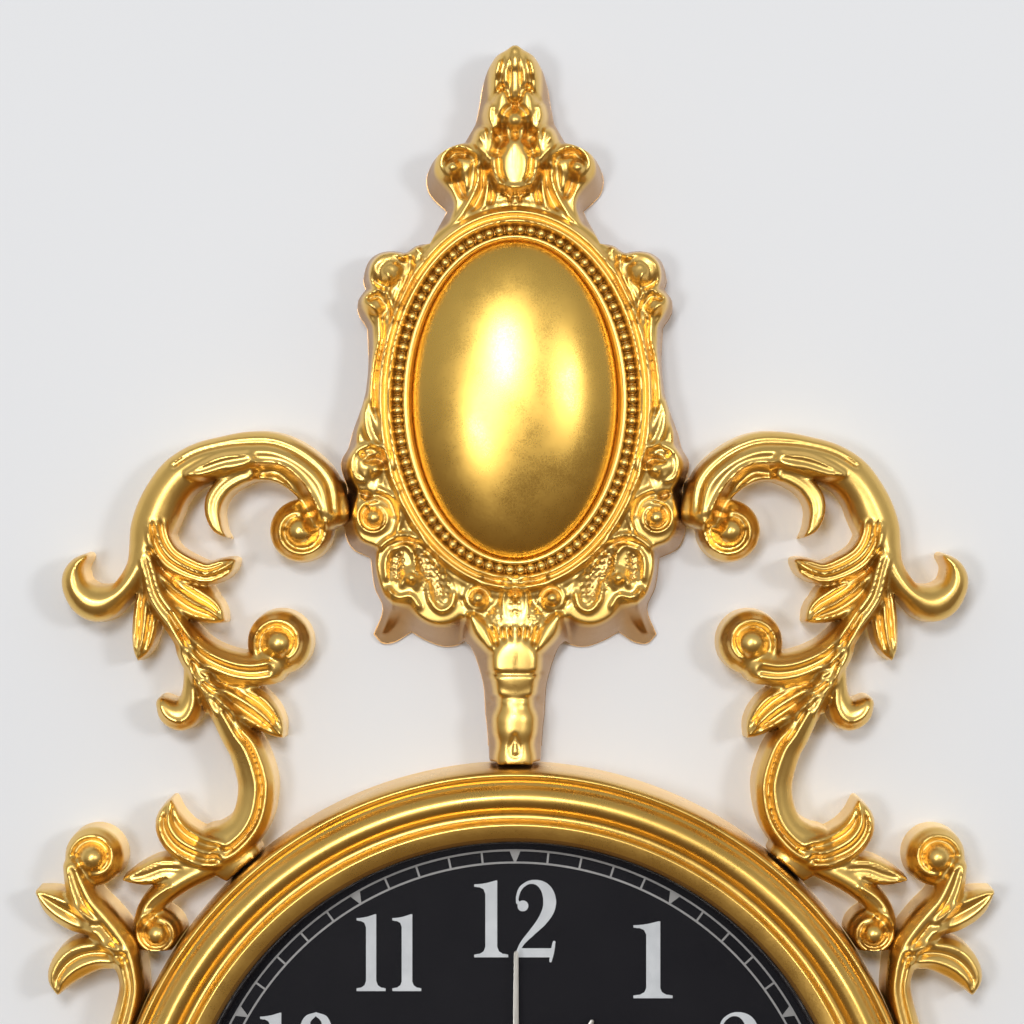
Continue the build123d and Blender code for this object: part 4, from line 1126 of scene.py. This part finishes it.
# Old-style roman digits, DIGIT_H high with the left foot at the origin: "line"
# is a stroke of (x, z, half-width) and "area" a closed outline of (x, z).
SIX = [("line", [(13.8, 28.4, 2.2)]),
       ("line", [(14.9, 31, 0.8), (11, 33.8, 0.8), (7, 31.8, 1.6), (3.8, 25.5, 2.6), (2.9, 16.5, 3),
                 (4, 8, 2.7), (7, 1.8, 1.6), (10.5, 0.6, 0.8), (14.6, 3, 1.6), (16.4, 9, 2.6),
                 (15.4, 15.5, 2.2), (11.5, 20, 1), (7.5, 19.3, 0.7), (4.5, 15.5, 0.7)])]
DIGITS = {
    0: (17.6, [("line", [(8.8, 34, 0.8), (4.4, 31, 2), (2.9, 24, 2.7), (2.8, 17.3, 2.9), (2.9, 10.5, 2.7),
                         (4.4, 3.6, 2), (8.8, 0.6, 0.8), (13.2, 3.6, 2), (14.7, 10.5, 2.7),
                         (14.8, 17.3, 2.9), (14.7, 24, 2.7), (13.2, 31, 2), (8.8, 34, 0.8)])]),
    1: (15.7, [("area", [(5.1, 0.5), (10.7, 0.5), (10.7, 34.6), (9.6, 34.5), (6, 33.5), (3, 33),
                         (0.2, 32.9), (0.2, 31.6), (2.6, 31.4), (4.3, 30.6), (5.1, 28.6)]),
               ("area", [(0.2, 0), (15.5, 0), (15.5, 1.3), (13, 1.7), (11.4, 2.7), (10.7, 4.5),
                         (5.1, 4.5), (4.4, 2.7), (2.8, 1.7), (0.2, 1.3)])]),
    2: (18.4, [("line", [(3.4, 23.1, 2.5)]),
               ("line", [(1, 24.5, 0.7), (0.9, 27, 0.7), (2.4, 31, 0.8), (6, 33.6, 0.8), (10, 33.5, 1.3),
                         (13.5, 31, 2.3), (15.3, 26.5, 2.9), (14.9, 21.5, 2.8), (12, 16.3, 2.2),
                         (7.5, 11.2, 1.5), (3.2, 6.4, 1), (1, 2.2, 0.8)]),
               ("area", [(0.2, 0), (16.4, 0), (16.8, 4.2), (2.2, 4.2), (0.2, 2.4)]),
               ("line", [(17.4, 6.8, 0.7), (16.6, 2.4, 0.9), (15.8, -1.7, 0.6)])]),
    3: (17.8, [("line", [(3.3, 27.4, 2.3)]),
               ("line", [(1.5, 28.5, 0.7), (3, 32.2, 0.8), (7, 33.9, 0.8), (11, 32.4, 2), (12.6, 28.4, 2.6),
                         (11, 23.4, 2), (7.5, 19.6, 1), (5, 18.7, 0.7)]),
               ("line", [(5.5, 18.7, 0.7), (11, 17.9, 1.6), (14.6, 13.6, 2.7), (14.8, 8, 2.9),
                         (12.2, 2.8, 2), (7.5, 0.7, 0.9), (3, 1.8, 0.8), (1.3, 5.6, 0.8)]),
               ("line", [(3.1, 7.4, 2.5)])]),
    4: (19.2, [("area", [(10.7, 0.8), (15.2, 0.8), (15.2, 34.4), (13.7, 34.4), (10.7, 29.8)]),
               ("line", [(13.8, 33.4, 0.9), (7.2, 22, 0.8), (0.9, 10.4, 0.8)]),
               ("area", [(0.1, 8.7), (19, 8.7), (19, 10.9), (0.1, 10.9)]),
               ("area", [(6.6, 0), (19, 0), (19, 1.3), (16, 2.2), (10, 2.2), (6.6, 1.3)])]),
    5: (18.0, [("area", [(3, 34.4), (4.4, 33.4), (9, 32.8), (15.8, 34.4), (14.8, 31), (12.2, 29),
                         (8.6, 28.4), (4.3, 29.2), (4.3, 18.4), (3, 18)]),
               ("line", [(3.7, 18.6, 0.7), (7, 20.8, 0.9), (11.5, 20.2, 1.8), (14.8, 16, 2.7),
                         (15.3, 10.5, 2.9), (13.2, 4.4, 2.2), (9, 0.9, 0.9), (4, 1.2, 0.8),
                         (1.4, 4.6, 0.8)]),
               ("line", [(3.1, 7, 2.4)])]),
    6: (19.0, SIX),
    7: (17.4, [("area", [(0.6, 34.5), (1.7, 34.5), (2.7, 33.4), (5, 33.7), (9, 34.3), (13, 33.3),
                         (16.9, 34.4), (16.9, 32.2), (13, 29.6), (9, 29.4), (5, 30.2), (2.7, 29.8),
                         (1.7, 26), (0.6, 26)]),
               ("line", [(16, 32.6, 0.8), (12.6, 24.5, 1.2), (9.6, 16, 2), (8.2, 8, 2.8), (8, 2.9, 3)])]),
    8: (17.4, [("line", [(9, 33.9, 0.8), (4.8, 31.4, 1.8), (3.8, 27, 2), (5.6, 22.2, 1.9),
                         (9.5, 18.4, 1.8), (13.6, 14.2, 2.6), (14.8, 8, 2.6), (12.8, 2.6, 1.6),
                         (8.6, 0.7, 0.8), (4, 2.6, 1.6), (2.1, 8, 1.9), (4.2, 14, 1.2), (8.8, 18.2, 0.9),
                         (12.6, 22.6, 1.1), (13.8, 27, 1.6), (12.6, 31.6, 1.4), (9, 33.9, 0.8)])]),
    9: (19.0, [(kind, [(19 - p[0], DIGIT_H - p[1], *p[2:]) for p in points]) for kind, points in SIX]),
}
# Hours whose numeral is set narrower or wider, and a little out of its place.
NUMERAL_WIDTH = {1: 1.15, 10: 0.92, 11: 0.86}
NUMERAL_SHIFT = {1: (5.4, -3.2), 2: (2.5, -2.8), 10: (0, -2.8)}


def digit_distance(x, z, shapes):
    best = np.full(x.shape, 1e9)
    for kind, points in shapes:
        if kind == "area":
            best = np.minimum(best, polygon_distance(x, z, points))
            continue
        line = smooth_line(points)
        if len(line) == 1:
            line = np.vstack([line, line + [0, 0.01, 0]])
        for (ax, az, ar), (bx, bz, br) in zip(line, line[1:]):
            dx, dz = bx - ax, bz - az
            t = np.clip(((x - ax) * dx + (z - az) * dz) / (dx * dx + dz * dz), 0, 1)
            gap = np.hypot(x - ax - t * dx, z - az - t * dz)
            best = np.minimum(best, gap - ar - t * (br - ar))
    return best


def make_numerals():
    for hour in range(1, 13):
        digits = [int(c) for c in str(hour)]
        stretch = NUMERAL_WIDTH.get(hour, 1.0)
        width = stretch * (sum(DIGITS[d][0] for d in digits) + SPACING * (len(digits) - 1))
        turn = math.radians(30 * hour)
        shift_x, shift_z = NUMERAL_SHIFT.get(hour, (0, 0))
        left = NUMERAL_R * math.sin(turn) + shift_x - width / 2
        foot = NUMERAL_R * math.cos(turn) + shift_z - DIGIT_H / 2
        cell = NUMERAL_CELL
        x = np.arange(-1, width + 1, cell)
        z = np.arange(-DIGIT_MARGIN, 36, cell)
        X, Z = np.meshgrid(x, z, indexing="ij")
        field = np.full(X.shape, 1e9)
        start = 0.0
        for digit in digits:
            advance, shapes = DIGITS[digit]
            field = np.minimum(field, digit_distance(X / stretch - start, Z, shapes))
            start += advance + SPACING
        h = np.arange(-0.06, PRINT_T + 0.09, PRINT_STEP)
        solid = np.maximum(field[:, :, None], np.maximum(h - PRINT_T, -h))
        corner = (left - 1, foot - DIGIT_MARGIN, DIAL_H + h[0])
        obj = net_mesh(f"numeral_{hour}", solid, corner, (cell, cell, PRINT_STEP))
        add_piece(obj, "numeral_white")


def ring_strip(bm, inner, outer, low, high):
    """A flat closed hoop about the dial's axis, in millimetres."""
    segments = ROUND_SEGMENTS
    loops = []
    for radius, height in ((inner, low), (outer, low), (outer, high), (inner, high)):
        turns = [2 * math.pi * k / segments for k in range(segments)]
        loops.append([bm.verts.new((radius * math.cos(t) * MM, -height * MM, radius * math.sin(t) * MM))
                      for t in turns])
    for a, b in zip(loops, loops[1:] + loops[:1]):
        for k in range(segments):
            n = (k + 1) % segments
            bm.faces.new((a[k], b[k], b[n], a[n]))


def prism(bm, outline, low, high):
    """A closed prism on a counter-clockwise outline of (x, z) in millimetres."""
    back = [bm.verts.new((x * MM, -low * MM, z * MM)) for x, z in outline]
    front = [bm.verts.new((x * MM, -high * MM, z * MM)) for x, z in outline]
    bm.faces.new(front)
    bm.faces.new(back[::-1])
    for k in range(len(outline)):
        n = (k + 1) % len(outline)
        bm.faces.new((back[k], back[n], front[n], front[k]))


def make_track():
    """Two fine circles joined by a bar for each minute and a wedge for each hour."""
    bm = bmesh.new()
    low, high = DIAL_H, DIAL_H + PRINT_T
    half = TRACK_LINE / 2
    for radius in (TRACK_INNER, TRACK_OUTER):
        ring_strip(bm, radius - half, radius + half, low, high)
    for minute in range(60):
        turn = math.radians(6 * minute)
        out_x, out_z = math.sin(turn), math.cos(turn)
        inner_w, outer_w = (half, half) if minute % 5 else WEDGE
        outline = []
        for radius, side in ((TRACK_INNER, 1), (TRACK_OUTER, 1), (TRACK_OUTER, -1), (TRACK_INNER, -1)):
            w = side * (inner_w if radius == TRACK_INNER else outer_w)
            outline.append((radius * out_x + w * out_z, radius * out_z - w * out_x))
        prism(bm, outline, low, high - BAR_DROP)
    track = bmesh_object("minute_track", bm, smooth=False)
    # The track's grey is print with painted shade from the ring's lip.
    add_piece(track, "track_print_and_shade")


# ---- hands ----------------------------------------------------------------------
BLADE_HALF_W = 1.55
BLADE_TIP_W = 1.0         # half-width near the tip
BLADE_T = 0.5
BLADE_SLOPE = 0.18        # how far the blade's edges lie behind its ridge
HUB_BORE_R = 2.7


def make_hand(name, node, body, length, tail, front, angle, hub_r):
    """A slim solid baton with a low ridge along its middle, and a flat hub with its edge broken."""
    half, tip = BLADE_HALF_W, BLADE_TIP_W
    sections = [(-tail, half * 0.8), (-tail + 1.2, half), (0.25 * length, half), (length - 1.2, tip),
                (length - 0.3, 0.75 * tip), (length, 0.3 * tip)]
    verts = []
    for z, w in sections:
        verts += [(-w, BLADE_T, z), (w, BLADE_T, z), (w, BLADE_SLOPE, z), (0.3 * w, 0, z),
                  (-0.3 * w, 0, z), (-w, BLADE_SLOPE, z)]
    faces = [tuple(range(6)), tuple(range(len(verts) - 1, len(verts) - 7, -1))]
    for ring in range(len(sections) - 1):
        for k in range(6):
            a, b = ring * 6 + k, ring * 6 + (k + 1) % 6
            faces.append((a, a + 6, b + 6, b))
    turn = Matrix.Rotation(math.radians(angle), 3, "Y")
    points = [turn @ Vector((x, -front + depth, z)) * MM for x, depth, z in verts]
    blade = mesh_object(name, points, faces, smooth=False)
    finish_piece(blade, node, "hand_silver", body)
    back = front - BLADE_T
    profile = [(HUB_BORE_R, back), (hub_r, back), (hub_r, front - 0.25), (hub_r - 0.3, front),
               (HUB_BORE_R, front)]
    hub = lathe(name + "_hub", profile, 96)
    finish_piece(hub, node, "hand_silver", body)


def make_hands():
    make_hand("hour_baton", "hour_hand", "hour", length=76.8, tail=14, front=25.5, angle=27.0, hub_r=7)
    make_hand("minute_baton", "minute_hand", "minute", length=99.6, tail=20, front=28.0, angle=0.3,
              hub_r=6)


# ---- ring -------------------------------------------------------------------
ROD_SLOT = ((-27, -16, -190), (27, 1, -155))  # corners of the gap for the pendulum
BOB_CENTRE = (0, -290)


def without_box(obj, low, high):
    """Cuts a box, given in millimetres, out of a piece."""
    bm = bmesh.new()
    bmesh.ops.create_cube(bm, size=1.0)
    for v in bm.verts:
        v.co = [(low[i] + (v.co[i] + 0.5) * (high[i] - low[i])) * MM for i in range(3)]
    tool = bmesh_object("cutter", bm, smooth=False)
    cut = obj.modifiers.new("cut", "BOOLEAN")
    cut.operation = "DIFFERENCE"
    cut.solver = "EXACT"
    cut.object = tool
    depsgraph = bpy.context.evaluated_depsgraph_get()
    mesh = bpy.data.meshes.new_from_object(obj.evaluated_get(depsgraph))
    obj.modifiers.clear()
    obj.data = mesh
    bpy.data.objects.remove(tool)


def make_ring():
    profile = [
        (153.0, 18.5), (153.0, 41.0), (149.5, 41.0), (149.5, 42.2), (149.8, 42.8), (150.4, 43.1),
        (156.8, 45.8), (157.6, 45.7), (158.3, 44.9), (159.2, 43.6), (160.4, 42.9),
        (161.8, 42.8), (163.0, 43.4), (163.8, 44.6), (165.0, 46.3), (166.5, 47.4), (168.3, 48.0),
        (170.3, 47.8), (172.2, 46.8), (173.6, 45.2), (174.6, 43.4), (175.1, 42.9), (175.7, 42.8),
        (176.2, 41.9), (176.9, 41.3), (177.6, 41.5), (178.2, 42.3), (178.9, 42.7), (179.6, 42.4),
        (180.2, 41.5), (180.8, 39.8), (181.4, 37.0), (182.4, 20.0), (182.9, 1.2), (182.9, BACK),
        (161.0, BACK), (161.0, 18.5),
    ]
    ring = lathe("ring_moulding", profile, 360)
    without_box(ring, *ROD_SLOT)
    # The ring's gold is darkened as painted shade.
    finish_piece(ring, "bezel_ring", "ring_shaded_gold")


def make_surround():
    """The glossy inner wall between lens and dial, a little hollow; its dark brown is painted reflection of
    the black dial and painted shade.
    """
    profile = [(147.0, 20.0), (147.4, 24.0), (147.9, 30.0), (148.6, 38.0), (149.0, 40.7),
               (152.6, 40.7), (152.6, 20.0)]
    finish_piece(lathe("inner_wall", profile, 360), "dial_surround", "brown_gloss")


def make_bob():
    """Pendulum bob: a dished disc with turned rings round a domed middle."""
    profile = [(1.7, 3.5), (35.2, 3.5), (36, 4.3), (36, 5.6), (35, 6.6), (33.6, 6.9), (32.6, 6.3),
               (31.6, 6.5), (31, 7.9), (29.6, 9.4), (27.6, 9.9), (25.6, 9.3), (24.6, 8.7), (24, 9.2),
               (22, 10.6), (17, 11.7), (10, 12.3), (1.7, 12.5)]
    bob = lathe("turned_bob", profile, 180, BOB_CENTRE)
    finish_piece(bob, "pendulum_bob", "smooth_gold", "pendulum")


# ---- camera, light and room ------------------------------------------------------
WALL_Y = 0.0006           # metres; just behind the clock's back


def make_camera():
    data = bpy.data.cameras.new("camera")
    data.sensor_width = 36.0
    data.lens = 140.9
    camera = in_scene("camera", data)
    camera.location = (-0.00135, -1.820, 0.2959)
    camera.rotation_euler = (math.pi / 2, 0, 0)
    bpy.context.scene.camera = camera


def soft_light(name, place, aim, size, power):
    data = bpy.data.lights.new(name, "AREA")
    data.shape = "RECTANGLE"
    data.size, data.size_y = size
    data.energy = power
    light = in_scene(name, data)
    light.location = place
    light.rotation_euler = (Vector(aim) - Vector(place)).to_track_quat("-Z", "Y").to_euler()


def make_world():
    world = bpy.data.worlds.new("studio")
    bpy.context.scene.world = world
    world.use_nodes = True
    tree = world.node_tree
    back = tree.nodes["Background"]
    coord = tree.nodes.new("ShaderNodeTexCoord")
    split = tree.nodes.new("ShaderNodeSeparateXYZ")
    ramp = tree.nodes.new("ShaderNodeValToRGB")
    tree.links.new(coord.outputs["Generated"], split.inputs[0])
    half = tree.nodes.new("ShaderNodeMapRange")
    half.inputs["From Min"].default_value = -1.0
    tree.links.new(split.outputs["Z"], half.inputs[0])
    tree.links.new(half.outputs[0], ramp.inputs[0])
    tree.links.new(ramp.outputs[0], back.inputs["Color"])
    stops = [(0.0, (0.20, 0.13, 0.07)), (0.40, (0.28, 0.22, 0.16)), (0.52, (0.56, 0.55, 0.54)),
             (0.75, (0.60, 0.60, 0.60)), (1.0, (0.50, 0.50, 0.51))]
    fill_ramp(ramp.color_ramp, stops)
    back.inputs["Strength"].default_value = 0.80


def make_stage():
    """A plain wall, seen from the front only."""
    m = Nodes("plain_wall")
    m.drive("Base Color", m.mix(m.cloud(2.5, 2), (0.82, 0.85, 0.89), (0.84, 0.87, 0.91)))
    m.set(Roughness=0.9)
    clear = m.tree.nodes.new("ShaderNodeBsdfTransparent")
    pick = m.tree.nodes.new("ShaderNodeMixShader")
    side = m.tree.nodes.new("ShaderNodeNewGeometry").outputs["Backfacing"]
    m.link(side, pick.inputs[0])
    m.link(m.shader.outputs[0], pick.inputs[1])
    m.link(clear.outputs[0], pick.inputs[2])
    m.link(pick.outputs[0], m.out.inputs[0])
    corners = [(x, WALL_Y, z) for x, z in ((-4, -1.2), (4, -1.2), (4, 3), (-4, 3))]
    wall = mesh_object("wall", corners, [(0, 1, 2, 3)], smooth=False)
    dress(wall, m.material)
    wall.visible_shadow = False


make_camera()
make_world()
make_stage()
soft_light("key", (-0.24, -2.7, 0.92), (0, 0, 0.30), (0.50, 0.42), 24)
soft_light("right", (1.42, -2.7, 0.60), (0, 0, 0.30), (0.45, 0.40), 14)
soft_light("low_left", (-0.80, -2.7, 0.15), (0, 0, 0.30), (0.38, 0.45), 13)
soft_light("rear", (0.50, 2.6, 0.70), (0, 0, 0), (1.60, 1.60), 45)
bpy.context.scene.view_settings.view_transform = "Standard"

make_ring()
make_arms()
make_side_scrolls()
make_crest()
make_pendant()
make_surround()
make_numerals()
make_track()
make_hands()
make_bob()
for finish, nodes in CAD_FINISH.items():
    for node in nodes:
        dress(NODES[node], MATERIALS[finish])
